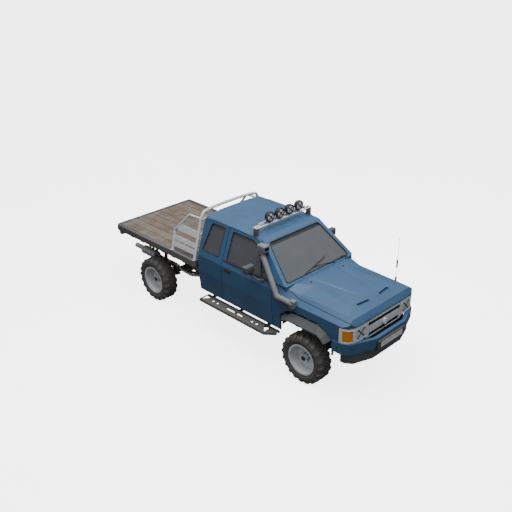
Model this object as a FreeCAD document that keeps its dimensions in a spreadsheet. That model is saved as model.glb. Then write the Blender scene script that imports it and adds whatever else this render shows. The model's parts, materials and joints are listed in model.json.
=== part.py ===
"""A four-wheel-drive flatbed truck: an extra-cab body on a ladder frame with a boarded tray.

Frame: +Z up, the truck faces -Y, its right-hand side is at -X. The origin is on the ground under
the middle of the truck. All sizes are in millimetres.
"""
import FreeCAD, Part
import Sketcher
import math
import os
from FreeCAD import Placement, Rotation, Vector

doc = FreeCAD.newDocument("flatbed_truck")
sheet = doc.addObject("Spreadsheet::Sheet", "Sizes")

SIZES = (
    # wheels and axles
    ("front_axle_y", -1746, "front axle along the truck"),
    ("rear_axle_y", 1637, "rear axle along the truck"),
    ("track_half", 748, "middle of the truck to the middle of a tyre"),
    ("tyre_radius", 385, "outer radius of a tyre, which is also the axle height"),
    ("tyre_width", 268, "width of a tyre over its sidewalls"),
    ("rim_radius", 238, "radius of a rim flange"),
    ("rim_width", 232, "width of a rim over its flanges"),
    ("rim_wall", 10, "thickness of the rim barrel"),
    ("flange_height", 16, "height of a rim flange above the barrel"),
    ("disc_inset", 154, "outer flange of a rim to the face of its disc"),
    ("disc_thick", 12, "thickness of a wheel disc"),
    ("hub_radius", 62, "radius of a wheel hub"),
    ("cap_radius", 40, "radius of a hub cap"),
    ("cap_reach", 58, "middle of a tyre to the end of the hub cap"),
    ("spindle_radius", 30, "radius of a wheel spindle"),
    ("pin_fit", 0.3, "clearance of a pin or spindle in its bore"),
    ("kingpin_half", 610, "middle of the truck to a kingpin"),
    ("kingpin_radius", 20, "radius of a kingpin"),
    ("yoke_half", 120, "half height of an axle yoke"),
    ("yoke_arm", 35, "thickness of a yoke arm"),
    ("yoke_wide", 70, "width of a yoke along the truck"),
    ("knuckle_radius", 44, "radius of a knuckle barrel"),
    ("running_gap", 7, "gap between pieces that move past each other"),
    ("brake_radius", 140, "radius of a brake backing plate"),
    ("axle_tube", 46, "radius of an axle tube"),
    ("diff_radius", 112, "radius of the rear differential housing"),
    ("front_diff_radius", 95, "radius of the front differential housing"),
    ("front_diff_x", -215, "front differential across the truck"),
    ("tie_rod_radius", 13, "radius of the tie rod"),
    ("steer_arm", 150, "kingpin to the tie rod, along the truck"),
    # frame
    ("rail_half", 350, "middle of the truck to the middle of a rail"),
    ("rail_wide", 60, "width of a rail"),
    ("rail_deep", 100, "depth of a rail"),
    ("rail_low", 590, "underside of the rails in front"),
    ("rail_kick", 150, "rise of the rails over the rear axle"),
    ("kick_start", 1130, "where the rails begin to rise"),
    ("kick_end", 1330, "where the rails stop rising"),
    ("frame_front", -2390, "front end of the rails"),
    ("frame_rear", 2500, "rear end of the rails"),
    ("cross_wide", 80, "length of a crossmember along the truck"),
    # springs and shock absorbers
    ("leaf_thick", 11, "thickness of one spring leaf"),
    ("leaf_wide", 60, "width of a spring leaf"),
    ("front_span", 500, "front axle to a spring eye"),
    ("rear_span", 590, "rear axle to a spring eye"),
    ("front_sag", 42, "rise of a front spring eye above its middle"),
    ("rear_sag", 55, "rise of a rear spring eye above its middle"),
    ("shackle_bolt", 8, "radius of the bolt through a spring eye"),
    ("damper_radius", 29, "radius of a shock absorber body"),
    ("front_damper_x", 418, "middle of the truck to a front shock absorber"),
    ("rear_damper_x", 560, "middle of the truck to a rear shock absorber"),
    # cab
    ("sill_z", 630, "underside of the sills"),
    ("sill_half", 765, "half width at the sills"),
    ("crease_z", 980, "height of the lower crease"),
    ("body_half", 800, "half width between the lower crease and the belt"),
    ("belt_z", 1245, "height of the belt line"),
    ("roof_half", 600, "half width at the roof edge"),
    ("roof_edge_z", 1838, "height of the roof edge"),
    ("roof_top_z", 1880, "height of the middle of the roof"),
    ("roof_round", 50, "rounding of the roof edge"),
    ("cab_rear", 535, "rear wall of the cab"),
    ("roof_fall", 60, "slope of the rear wall's top, along the truck"),
    ("firewall_y", -1200, "front face of the firewall"),
    ("cowl_y", -1330, "front of the cowl under the windscreen"),
    ("cowl_z", 1338, "top of the cowl, at the foot of the windscreen"),
    ("cowl_deep", 93, "depth of the cowl box"),
    ("screen_top_y", -765, "top of the windscreen along the truck"),
    ("screen_top_z", 1812, "height of the top of the windscreen"),
    ("wall", 50, "thickness of the cab walls and doors"),
    ("floor_z", 700, "underside of the cab floor"),
    ("floor_thick", 40, "thickness of the cab floor"),
    ("glass", 6, "thickness of a pane"),
    ("shut_gap", 7, "gap round a door or the bonnet"),
    ("door_front", -1100, "front edge of a door"),
    ("door_rear", -42, "rear edge of a door"),
    ("door_low", 660, "lower edge of a door"),
    ("door_top", 1812, "top edge of a door"),
    ("door_swing_gap", 10, "extra gap behind the top of the door for its swing"),
    ("window_low", 1338, "lower edge of the side windows"),
    ("window_top", 1780, "upper edge of the side windows"),
    # nose
    ("nose_front", -2500, "front face of the nose"),
    ("nose_half", 772, "half width of the nose"),
    ("fender_mid", -1547, "where the fender crease levels out"),
    ("fender_crease_z", 1155, "height of the fender crease"),
    ("shoulder_half", 640, "half width of the bonnet's upper shoulder"),
    ("shoulder_z", 1258, "height of the bonnet's upper shoulder"),
    ("bonnet_rear_z", 1340, "top of the bonnet at the windscreen"),
    ("bonnet_bend_y", -2300, "where the bonnet starts to drop to the front"),
    ("bonnet_bend_z", 1292, "top of the bonnet there"),
    ("bonnet_lip_z", 1162, "front edge of the bonnet"),
    ("bonnet_half", 700, "half width of the bonnet lid"),
    ("bonnet_thick", 34, "thickness of the bonnet lid"),
    ("nose_wall", 42, "thickness of the fenders"),
    ("nose_low", 872, "underside of the nose over the bumper"),
    # wheel arches
    ("arch_rear", 488, "front axle to the rear edge of the arch"),
    ("arch_front", 452, "front axle to the front edge of the arch"),
    ("arch_top", 1046, "top of the arch"),
    ("flare_reach", 866, "middle of the truck to the lip of a flare"),
    ("flare_thick", 22, "thickness of a flare"),
    ("liner_half", 455, "middle of the truck to the inner wall of a wheel arch liner"),
    # front
    ("band_low", 905, "lower edge of the lamp band"),
    ("band_top", 1135, "upper edge of the lamp band, a shut gap below the bonnet's edge"),
    ("lid_low", 1142, "lower edge of the bonnet lid at the front"),
    ("seat_gap", 0.3, "gap between a hinge or buffer and what rests on it"),
    ("lamp_low", 925, "lower edge of a headlamp"),
    ("lamp_top", 1112, "upper edge of a headlamp"),
    ("lamp_inner", 405, "middle of the truck to the inner edge of a headlamp"),
    ("lamp_outer", 640, "middle of the truck to the outer edge of a headlamp"),
    ("corner_lamp_inner", 662, "middle of the truck to a corner lamp"),
    ("grille_half", 370, "half width of the grille slots"),
    ("grille_low", 848, "lower edge of the grille"),
    ("bumper_front", -2630, "front face of the bumper"),
    ("bumper_half", 785, "half width of the bumper"),
    ("bumper_low", 735, "lower edge of the painted bumper"),
    ("bumper_top", 900, "upper edge of the painted bumper"),
    ("bumper_rear", -2213, "rear ends of the bumper"),
    ("valance_low", 560, "lower edge of the valance"),
    ("plate_front", -2655, "front face of the plate holder"),
    ("plate_half", 300, "half width of the plate holder"),
    # tray
    ("tray_front", 565, "front edge of the tray"),
    ("tray_rear", 2655, "rear edge of the tray"),
    ("tray_half", 838, "half width of the tray"),
    ("tray_top", 1113, "top of the tray's edge"),
    ("tray_edge", 104, "height of the tray's edge"),
    ("tray_rim", 62, "width of the tray's rim"),
    ("tray_corner", 45, "rounding of the tray's corners"),
    ("board_count", 9, "number of boards across the tray"),
    ("board_gap", 6, "gap between boards"),
    ("board_thick", 26, "thickness of a board"),
    ("board_drop", 4, "rim of the tray above the boards"),
    ("bearer_count", 6, "number of bearers under the boards"),
    ("bearer_wide", 60, "length of a bearer along the truck"),
    ("runner_wide", 56, "width of a runner"),
    ("runner_deep", 110, "depth of a runner"),
    # headboard
    ("hoop_y", 592, "headboard hoop along the truck"),
    ("hoop_radius", 24, "radius of the hoop tube"),
    ("hoop_foot", 800, "middle of the truck to a foot of the hoop"),
    ("hoop_top_z", 1905, "middle of the hoop tube at its top"),
    ("wing_length", 545, "hoop to the rear post of a wing"),
    ("wing_lean", 15, "lean of a wing, in degrees"),
    ("wing_tube", 20, "radius of a wing tube"),
    # fittings
    ("step_reach", 910, "middle of the truck to the outer edge of a side step"),
    ("step_z", 555, "top of a side step"),
    ("step_front", -1045, "front of the step's straight edge"),
    ("step_rear", 372, "rear end of a side step"),
    ("step_tube", 24, "radius of the step's tube"),
    ("snorkel_radius", 42, "radius of the snorkel pipe"),
    ("bar_y", -560, "roof light bar along the truck"),
    ("bar_z", 1935, "height of the roof light bar"),
    ("bar_half", 590, "half length of the roof light bar"),
    ("bar_radius", 15, "radius of the bar's tubes"),
    ("lamp_radius", 70, "radius of a roof lamp"),
    ("lamp_z", 2080, "height of the roof lamps"),
    ("lamp_y", -605, "front face of the roof lamps"),
    ("aerial_x", 728, "middle of the truck to the aerial"),
    ("aerial_y", -2155, "aerial along the truck"),
    ("aerial_top", 1900, "tip of the aerial"),
    ("mirror_reach", 1005, "middle of the truck to the end of a mirror"),
)

for row, (alias, value, meaning) in enumerate(SIZES, start=1):
    sheet.set("A%d" % row, meaning)
    sheet.set("B%d" % row, str(value))
    sheet.setAlias("B%d" % row, alias)
doc.recompute()


class Size:
    """A value of the sheet, or a sum of such values: its number now and its formula."""

    def __init__(self, value, text):
        self.value = float(value)
        self.text = text

    def join(self, other, sign, value):
        return Size(value, "(%s %s %s)" % (self.text, sign, other.text))

    def __float__(self):
        return self.value

    def __neg__(self):
        return Size(-self.value, "(-%s)" % self.text)

    def __add__(self, other):
        other = as_size(other)
        return self.join(other, "+", self.value + other.value)

    def __sub__(self, other):
        other = as_size(other)
        return self.join(other, "-", self.value - other.value)

    def __mul__(self, other):
        other = as_size(other)
        return self.join(other, "*", self.value * other.value)

    def __truediv__(self, other):
        other = as_size(other)
        return self.join(other, "/", self.value / other.value)

    def __radd__(self, other):
        return as_size(other) + self

    def __rsub__(self, other):
        return as_size(other) - self

    def __rmul__(self, other):
        return as_size(other) * self


def as_size(number):
    if isinstance(number, Size):
        return number
    return Size(number, "(%.6g)" % number)


class SheetSizes:
    """Reads a named value of the sheet as a Size."""

    def __getattr__(self, alias):
        return Size(sheet.get(alias), "Sizes." + alias)


S = SheetSizes()
X, Y, Z = Vector(1, 0, 0), Vector(0, 1, 0), Vector(0, 0, 1)
RIGHT, LEFT = -1, 1
ANY = 3000.0
nodes = {}


# ---------------------------------------------------------------- ways of making a shape

def tie(obj, **formulas):
    """Binds properties of an object to formulas of the sheet."""
    for name, value in formulas.items():
        obj.setExpression(name, as_size(value).text)
    return obj


def put(obj, at):
    """Binds the place of an object."""
    for axis, value in zip("xyz", at):
        obj.setExpression("Placement.Base." + axis, as_size(value).text)
    return obj


def box(label, at, size):
    obj = doc.addObject("Part::Box", label)
    tie(obj, Length=size[0], Width=size[1], Height=size[2])
    return put(obj, at)


def box_across(label, half, at_y, at_z, long, high):
    """A box centred across the truck."""
    return box(label, (-half, at_y, at_z), (half * 2, long, high))


def rod(label, at, along, radius, length):
    obj = doc.addObject("Part::Cylinder", label)
    obj.Placement = Placement(Vector(), Rotation(Z, along))
    tie(obj, Radius=radius, Height=length)
    return put(obj, at)


def taper(label, at, along, radius, end_radius, length):
    obj = doc.addObject("Part::Cone", label)
    obj.Placement = Placement(Vector(), Rotation(Z, along))
    tie(obj, Radius1=radius, Radius2=end_radius, Height=length)
    return put(obj, at)


def ball(label, at, radius):
    return put(tie(doc.addObject("Part::Sphere", label), Radius=radius), at)


def ring(label, at, along, radius, thick):
    obj = doc.addObject("Part::Torus", label)
    obj.Placement = Placement(Vector(), Rotation(Z, along))
    tie(obj, Radius1=radius, Radius2=thick)
    return put(obj, at)


def sketch_outline(body, label, plane, outline):
    """A closed outline of straight lines, each corner bound to the sheet."""
    sketch = body.newObject("Sketcher::SketchObject", label)
    role = plane + "_Plane"
    origin = [item for item in body.Origin.OriginFeatures if item.Role == role][0]
    sketch.AttachmentSupport = (origin, [""])
    sketch.MapMode = "FlatFace"
    corners = [(as_size(u), as_size(v)) for u, v in outline]
    count = len(corners)
    for index in range(count):
        start = corners[index]
        end = corners[(index + 1) % count]
        line = Part.LineSegment(Vector(start[0].value, start[1].value, 0), Vector(end[0].value, end[1].value, 0))
        sketch.addGeometry(line, False)
    for index in range(count):
        sketch.addConstraint(Sketcher.Constraint("Coincident", index, 2, (index + 1) % count, 1))
    for index, corner in enumerate(corners):
        for kind, value in zip(("DistanceX", "DistanceY"), corner):
            number = sketch.addConstraint(Sketcher.Constraint(kind, -1, 1, index, 1, value.value))
            sketch.setExpression("Constraints[%d]" % number, value.text)
    return sketch


def prism(label, plane, outline, start, depth):
    """An outline in a plane such as XZ, padded from start along the third axis."""
    body = doc.addObject("PartDesign::Body", label)
    sketch = sketch_outline(body, label + "_outline", plane, outline)
    backwards = plane == "XZ"
    offset = -as_size(start) if backwards else as_size(start)
    sketch.setExpression("AttachmentOffset.Base.z", offset.text)
    pad = body.newObject("PartDesign::Pad", label + "_pad")
    pad.Profile = sketch
    pad.Reversed = backwards
    tie(pad, Length=depth)
    body.Tip = pad
    return body


def turned(label, outline, at):
    """An outline of (along the axle, radius) points turned about the axle."""
    body = doc.addObject("PartDesign::Body", label)
    sketch = sketch_outline(body, label + "_outline", "XY", outline)
    turn = body.newObject("PartDesign::Revolution", label + "_turn")
    turn.Profile = sketch
    turn.ReferenceAxis = (sketch, ["H_Axis"])
    turn.Angle = 360
    body.Tip = turn
    return put(body, at)


def bent_wire(points, bend):
    """Straight runs joined by tangent arcs of the radius bend."""
    points = [Vector(*[float(value) for value in point]) for point in points]
    edges = []
    start = points[0]
    for before, corner, after in zip(points, points[1:], points[2:]):
        back = (before - corner).normalize()
        ahead = (after - corner).normalize()
        turn = math.pi - back.getAngle(ahead)
        reach = bend * math.tan(turn / 2)
        entry = corner + back * reach
        leave = corner + ahead * reach
        middle = (back + ahead).normalize()
        crown = corner + middle * (bend / math.cos(turn / 2) - bend)
        edges.append(Part.makeLine(start, entry))
        edges.append(Part.Arc(entry, crown, leave).toShape())
        start = leave
    edges.append(Part.makeLine(start, points[-1]))
    return Part.Wire(edges)


def tube(label, points, radius, bend):
    """A round bar swept along a bent path."""
    path = doc.addObject("Part::Feature", label + "_path")
    path.Shape = bent_wire(points, bend)
    circle = tie(doc.addObject("Part::Circle", label + "_section"), Radius=radius)
    start, after = [Vector(*[float(value) for value in point]) for point in points[:2]]
    circle.Placement = Placement(start, Rotation(Z, after - start))
    sweep = doc.addObject("Part::Sweep", label)
    sweep.Sections = [circle]
    doc.recompute()
    sweep.Spine = (path, ["Edge%d" % (number + 1) for number in range(len(path.Shape.Edges))])
    sweep.Solid = True
    sweep.Frenet = False
    return sweep


def fuse(label, *parts):
    obj = doc.addObject("Part::MultiFuse", label)
    obj.Shapes = list(parts)
    obj.Refine = True
    return obj


def cut(label, base, *tools):
    """The base less one tool or several."""
    obj = doc.addObject("Part::Cut", label)
    obj.Base = base
    obj.Tool = tools[0] if len(tools) == 1 else fuse(label + "_tools", *tools)
    return obj


def common(label, first, second):
    obj = doc.addObject("Part::Common", label)
    obj.Base = first
    obj.Tool = second
    return obj


def together(label, *parts):
    """Like pieces that share a node and don't touch."""
    obj = doc.addObject("Part::Compound", label)
    obj.Links = list(parts)
    return obj


def rounded(label, base, radius, choose):
    """Rounds the edges of base that choose picks."""
    doc.recompute()
    obj = doc.addObject("Part::Fillet", label)
    obj.Base = base
    size = float(radius)
    obj.Edges = [(number, size, size) for number, edge in enumerate(base.Shape.Edges, start=1) if choose(edge)]
    return obj


def runs_along(edge, axis):
    """True for a straight edge along an axis, such as Y."""
    ends = [vertex.Point for vertex in edge.Vertexes]
    if len(ends) != 2:
        return False
    run = (ends[1] - ends[0]).normalize()
    return abs(abs(run.dot(axis)) - 1) < 1e-3


def node(label, obj):
    """Names the object that is written as a node."""
    obj.Label = label
    nodes[label] = obj
    return obj


def in_both(half):
    """A half outline, its points listed from the top middle out and down, joined to its mirror image."""
    return list(half) + [(-as_size(u), v) for u, v in reversed(half)]


# ---------------------------------------------------------------- wheels, hubs and axles

def wheel(place, axle_y, side):
    """A tyre and its rim, turned about the axle; side is RIGHT or LEFT."""
    half = S.tyre_width / 2
    bead = S.rim_radius - S.flange_height
    tyre_outline = (
        (-half + 30, bead),
        (-half + 22, S.rim_radius + 8),
        (-half, S.rim_radius + 58),
        (-half + 8, S.tyre_radius - 34),
        (-half + 34, S.tyre_radius),
        (half - 34, S.tyre_radius),
        (half - 8, S.tyre_radius - 34),
        (half, S.rim_radius + 58),
        (half - 22, S.rim_radius + 8),
        (half - 30, bead),
    )
    rim_half = S.rim_width / 2
    barrel = bead - S.rim_wall
    disc_face = rim_half - S.disc_inset
    disc_back = disc_face - S.disc_thick
    hub_back = S.kingpin_half + S.knuckle_radius + 34 - S.track_half
    bore_end = S.cap_reach - 46
    rim_outline = (
        (bore_end, 0),
        (S.cap_reach, 0),
        (S.cap_reach, S.cap_radius - 4),
        (S.cap_reach - 6, S.cap_radius),
        (disc_face + 26, S.cap_radius + 4),
        (disc_face + 22, S.hub_radius),
        (disc_face, S.hub_radius),
        (disc_face, barrel),
        (rim_half, barrel),
        (rim_half, S.rim_radius),
        (half - 22.5, S.rim_radius),
        (half - 29.5, bead - S.pin_fit),
        (-half + 29.5, bead - S.pin_fit),
        (-half + 22.5, S.rim_radius),
        (-rim_half, S.rim_radius),
        (-rim_half, barrel),
        (disc_back, barrel),
        (disc_back, S.hub_radius),
        (hub_back, S.hub_radius),
        (hub_back, S.spindle_radius + S.pin_fit),
        (bore_end, S.spindle_radius + S.pin_fit),
    )
    at = (side * S.track_half, axle_y, S.tyre_radius)
    tyre = turned("tyre_shape_" + place, [(side * as_size(u), v) for u, v in tyre_outline], at)
    node("tyre_" + place, tyre)
    rim = turned("rim_shape_" + place, [(side * as_size(u), v) for u, v in rim_outline], at)
    node("rim_" + place, rim)


def spindle_end():
    """Middle of the truck to the end of a spindle, short of the blind end of its hub."""
    return S.track_half + S.cap_reach - 46 - S.running_gap / 2


def knuckle(place, side):
    """A steering knuckle: kingpin, barrel, brake backing plate, spindle and steering arm."""
    y, z, kingpin = S.front_axle_y, S.tyre_radius, side * S.kingpin_half
    out = X * side
    arm_gap = S.yoke_half - S.yoke_arm - S.running_gap
    pin = rod("kingpin_" + place, (kingpin, y, z - S.yoke_half), Z, S.kingpin_radius, S.yoke_half * 2)
    barrel = rod("knuckle_barrel_" + place, (kingpin, y, z - arm_gap), Z, S.knuckle_radius, arm_gap * 2)
    neck = rod("knuckle_neck_" + place, (kingpin, y, z), out, S.knuckle_radius - 6, S.knuckle_radius + 20)
    plate_x = side * (S.kingpin_half + S.knuckle_radius + 18)
    plate = rod("brake_plate_" + place, (plate_x, y, z), out, S.brake_radius, 8)
    spindle = rod("spindle_" + place, (kingpin, y, z), out, S.spindle_radius, spindle_end() - S.kingpin_half)
    arm = box("steering_arm_" + place, (kingpin - 16, y, z - arm_gap), (32, S.steer_arm + 18, 18))
    eye_at = (kingpin, y + S.steer_arm, z - arm_gap - 1)
    eye = rod("steering_eye_" + place, eye_at, Z, S.tie_rod_radius + S.pin_fit - 4, 20)
    return node("knuckle_" + place, cut("knuckle_shape_" + place, fuse(
        "knuckle_solid_" + place, pin, barrel, neck, plate, spindle, arm), eye))


def make_tie_rod():
    """The rod between the steering arms, with a pin up into each arm's eye."""
    y, z = S.front_axle_y + S.steer_arm, S.tyre_radius
    arm_gap = S.yoke_half - S.yoke_arm - S.running_gap
    low = z - arm_gap - S.tie_rod_radius - 6
    bar = rod("tie_rod_bar", (-S.kingpin_half, y, low), X, S.tie_rod_radius, S.kingpin_half * 2)
    pins = [rod("tie_rod_pin_%d" % side, (side * S.kingpin_half, y, low), Z, S.tie_rod_radius - 4, S.tie_rod_radius + 22)
            for side in (RIGHT, LEFT)]
    ends = [rod("tie_rod_end_%d" % side, (side * S.kingpin_half, y, low - 16), Z, 20, 32) for side in (RIGHT, LEFT)]
    node("tie_rod", fuse("tie_rod_shape", bar, *pins, *ends))


def spring_seat(label, axle_y, side, sag_top):
    """The pad between an axle tube and its leaf spring."""
    low = S.tyre_radius + 20
    return box(label, (side * S.rail_half - S.leaf_wide / 2, axle_y - 60, low), (S.leaf_wide, 120, sag_top - low))


def spring_base():
    """Underside of the leaf springs where they sit on the axles."""
    return S.tyre_radius + S.axle_tube + 12


def diff_housing(label, at, radius):
    """A differential's housing, turned about the axle."""
    half = [(radius * 1.15, 0), (radius * 1.15, S.axle_tube + 4), (radius * 0.6, radius * 0.85), (radius * 0.3, radius)]
    return turned(label, half + [(-u, v) for u, v in reversed(half)], at)


def front_axle():
    """A tube with an offset differential and a yoke for the kingpin at each end."""
    y, z = S.front_axle_y, S.tyre_radius
    tube_end = S.kingpin_half - S.knuckle_radius - S.running_gap - 8
    parts = [rod("front_tube", (-tube_end, y, z), X, S.axle_tube, tube_end * 2)]
    parts.append(diff_housing("front_diff", (S.front_diff_x, y, z), S.front_diff_radius))
    parts.append(taper("front_pinion_nose", (S.front_diff_x, y, z), Y, S.front_diff_radius - 20, 45, 150))
    for side in (RIGHT, LEFT):
        tag = "_%d" % side
        inner = S.kingpin_half - S.knuckle_radius - S.running_gap - 20
        outer = S.kingpin_half + 32
        corner = inner if side == LEFT else -outer
        block = box("yoke_block" + tag, (corner, y - S.yoke_wide / 2, z - S.yoke_half),
                    (outer - inner, S.yoke_wide, S.yoke_half * 2))
        room_high = S.yoke_half - S.yoke_arm
        room_in = S.kingpin_half - S.knuckle_radius - S.running_gap
        room_corner = room_in if side == LEFT else -room_in - 200
        room = box("yoke_room" + tag, (room_corner, y - 100, z - room_high), (200, 200, room_high * 2))
        bore = rod("yoke_bore" + tag, (side * S.kingpin_half, y, z - 200), Z, S.kingpin_radius + S.pin_fit, 400)
        parts.append(cut("yoke" + tag, block, room, bore))
        parts.append(spring_seat("front_seat" + tag, y, side, spring_base()))
    node("front_axle", fuse("front_axle_shape", *parts))


def rear_axle():
    """A tube with the differential in the middle, spindles at its ends and brake drums' plates."""
    y, z = S.rear_axle_y, S.tyre_radius
    plate_x = S.kingpin_half + S.knuckle_radius + 18
    parts = [rod("rear_tube", (-plate_x, y, z), X, S.axle_tube, plate_x * 2)]
    parts.append(diff_housing("rear_diff", (0, y, z), S.diff_radius))
    parts.append(taper("rear_pinion_nose", (0, y, z), -Y, S.diff_radius - 20, 48, 190))
    for side in (RIGHT, LEFT):
        tag = "_%d" % side
        parts.append(rod("rear_plate" + tag, (side * plate_x, y, z), X * side, S.brake_radius, 8))
        parts.append(rod("rear_spindle" + tag, (0, y, z), X * side, S.spindle_radius, spindle_end()))
        parts.append(spring_seat("rear_seat" + tag, y, side, spring_base()))
    node("rear_axle", fuse("rear_axle_shape", *parts))


LEAVES = 4


def leaf_spring(label, axle_y, side, span, sag):
    """Curved leaves, the longest on top, with an eye at each end of the top one."""
    base_z = spring_base()
    height = LEAVES * S.leaf_thick
    arc_radius = (span * span + sag * sag) / (sag * 2)
    centre_z = base_z + height + arc_radius
    x = side * S.rail_half - S.leaf_wide / 2
    leaves, bores = [], []
    for number in range(LEAVES):
        share = 1 - 0.2 * number
        half_angle = math.degrees(math.asin(float(span) / float(arc_radius))) * share
        tag = "%s_leaf_%d" % (label, number)
        outer = rod(tag + "_outer", (x, axle_y, centre_z), X, arc_radius + S.leaf_thick * (number + 1), S.leaf_wide)
        inner = rod(tag + "_inner", (x - 1, axle_y, centre_z), X, arc_radius + S.leaf_thick * number, S.leaf_wide + 2)
        for sector in (outer, inner):
            turn = Rotation(X, 180 - half_angle).multiply(Rotation(Z, X))
            sector.Placement = Placement(sector.Placement.Base, turn)
            sector.Angle = 360
        band = cut(tag + "_band", outer, inner)
        reach = span * share
        window = box(tag + "_window", (x - 5, axle_y - reach, base_z - 40), (S.leaf_wide + 10, reach * 2, sag + 120))
        leaves.append(common(tag, band, window))
    eye_z = base_z + height + sag
    for end in (-1, 1):
        eye_at = (x, axle_y + end * span, eye_z + 6)
        leaves.append(rod("%s_eye_%d" % (label, end), eye_at, X, 24, S.leaf_wide))
        bores.append(rod("%s_bore_%d" % (label, end), eye_at, X, S.shackle_bolt + S.pin_fit, S.leaf_wide))
    return cut(label, fuse(label + "_solid", *leaves), *bores)


def leaf_springs():
    springs = []
    for side in (RIGHT, LEFT):
        springs.append(leaf_spring("front_spring_%d" % side, S.front_axle_y, side, S.front_span, S.front_sag))
        springs.append(leaf_spring("rear_spring_%d" % side, S.rear_axle_y, side, S.rear_span, S.rear_sag))
    node("leaf_springs", together("leaf_springs_shape", *springs))


def dampers():
    """Four shock absorbers: a body below a thinner rod, standing on the axles."""
    units = []
    for side in (RIGHT, LEFT):
        for label, x, axle_y, top in (
            ("front", S.front_damper_x, S.front_axle_y, S.rail_low + S.rail_deep + 118),
            ("rear", S.rear_damper_x, S.rear_axle_y, S.rail_low + S.rail_kick + S.rail_deep + 10),
        ):
            tag = "%s_damper_%d" % (label, side)
            low = S.tyre_radius + S.axle_tube + 0.3
            high = top - low
            body = rod(tag + "_body", (side * x, axle_y, low), Z, S.damper_radius * 0.8, high * 0.45)
            sleeve = rod(tag + "_sleeve", (side * x, axle_y, low + high * 0.4), Z, S.damper_radius, high * 0.5)
            stem = rod(tag + "_stem", (side * x, axle_y, low + high * 0.8), Z, 10, high * 0.2 - 0.3)
            units.append(fuse(tag, body, sleeve, stem))
    node("shock_absorbers", together("shock_absorbers_shape", *units))


# ---------------------------------------------------------------- frame and driveline

def rail_top_rear():
    return S.rail_low + S.rail_kick + S.rail_deep


def hanger(label, y, z_low, z_high, side, thick=12):
    """A pair of plates that hold a spring eye on its bolt, under the rail."""
    x = side * S.rail_half
    half = S.leaf_wide / 2 + 1
    plates = [box("%s_plate_%d" % (label, end), (x + end * (half + thick / 2) - thick / 2, y - 30, z_low - 28),
                  (thick, 60, z_high - z_low + 28)) for end in (-1, 1)]
    bolt = rod(label + "_bolt", (x - half - thick, y, z_low), X, S.shackle_bolt, half * 2 + 2 * thick)
    cap = box(label + "_cap", (x - half - thick, y - 30, z_high - 10), (half * 2 + 2 * thick, 60, 10))
    return [*plates, bolt, cap]


def ladder_frame():
    """Two rails with a rise over the rear axle, and the crossmembers between them."""
    low, deep, kick = S.rail_low, S.rail_deep, S.rail_kick
    rails = []
    for side in (RIGHT, LEFT):
        rails.append(prism("rail_%d" % side, "YZ", (
            (S.frame_front, low), (S.kick_start, low), (S.kick_end, low + kick), (S.frame_rear, low + kick),
            (S.frame_rear, low + kick + deep), (S.kick_end, low + kick + deep), (S.kick_start, low + deep),
            (S.frame_front, low + deep)), side * S.rail_half - S.rail_wide / 2, S.rail_wide))
    node("ladder_frame", together("ladder_frame_shape", *rails))
    inner = S.rail_half - S.rail_wide / 2
    front_places = (S.frame_front, S.front_axle_y - 470, S.firewall_y + 90, S.cab_rear - 620, S.kick_start - 120)
    rear_places = (S.rear_axle_y - 150, S.rear_axle_y + 330, S.frame_rear - S.cross_wide)
    places = [(y, low) for y in front_places] + [(y, low + kick) for y in rear_places]
    members = [box_across("cross_%d" % number, inner, y, foot + 15, S.cross_wide, deep - 30)
               for number, (y, foot) in enumerate(places)]
    node("crossmembers", together("crossmembers_shape", *members))


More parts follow.
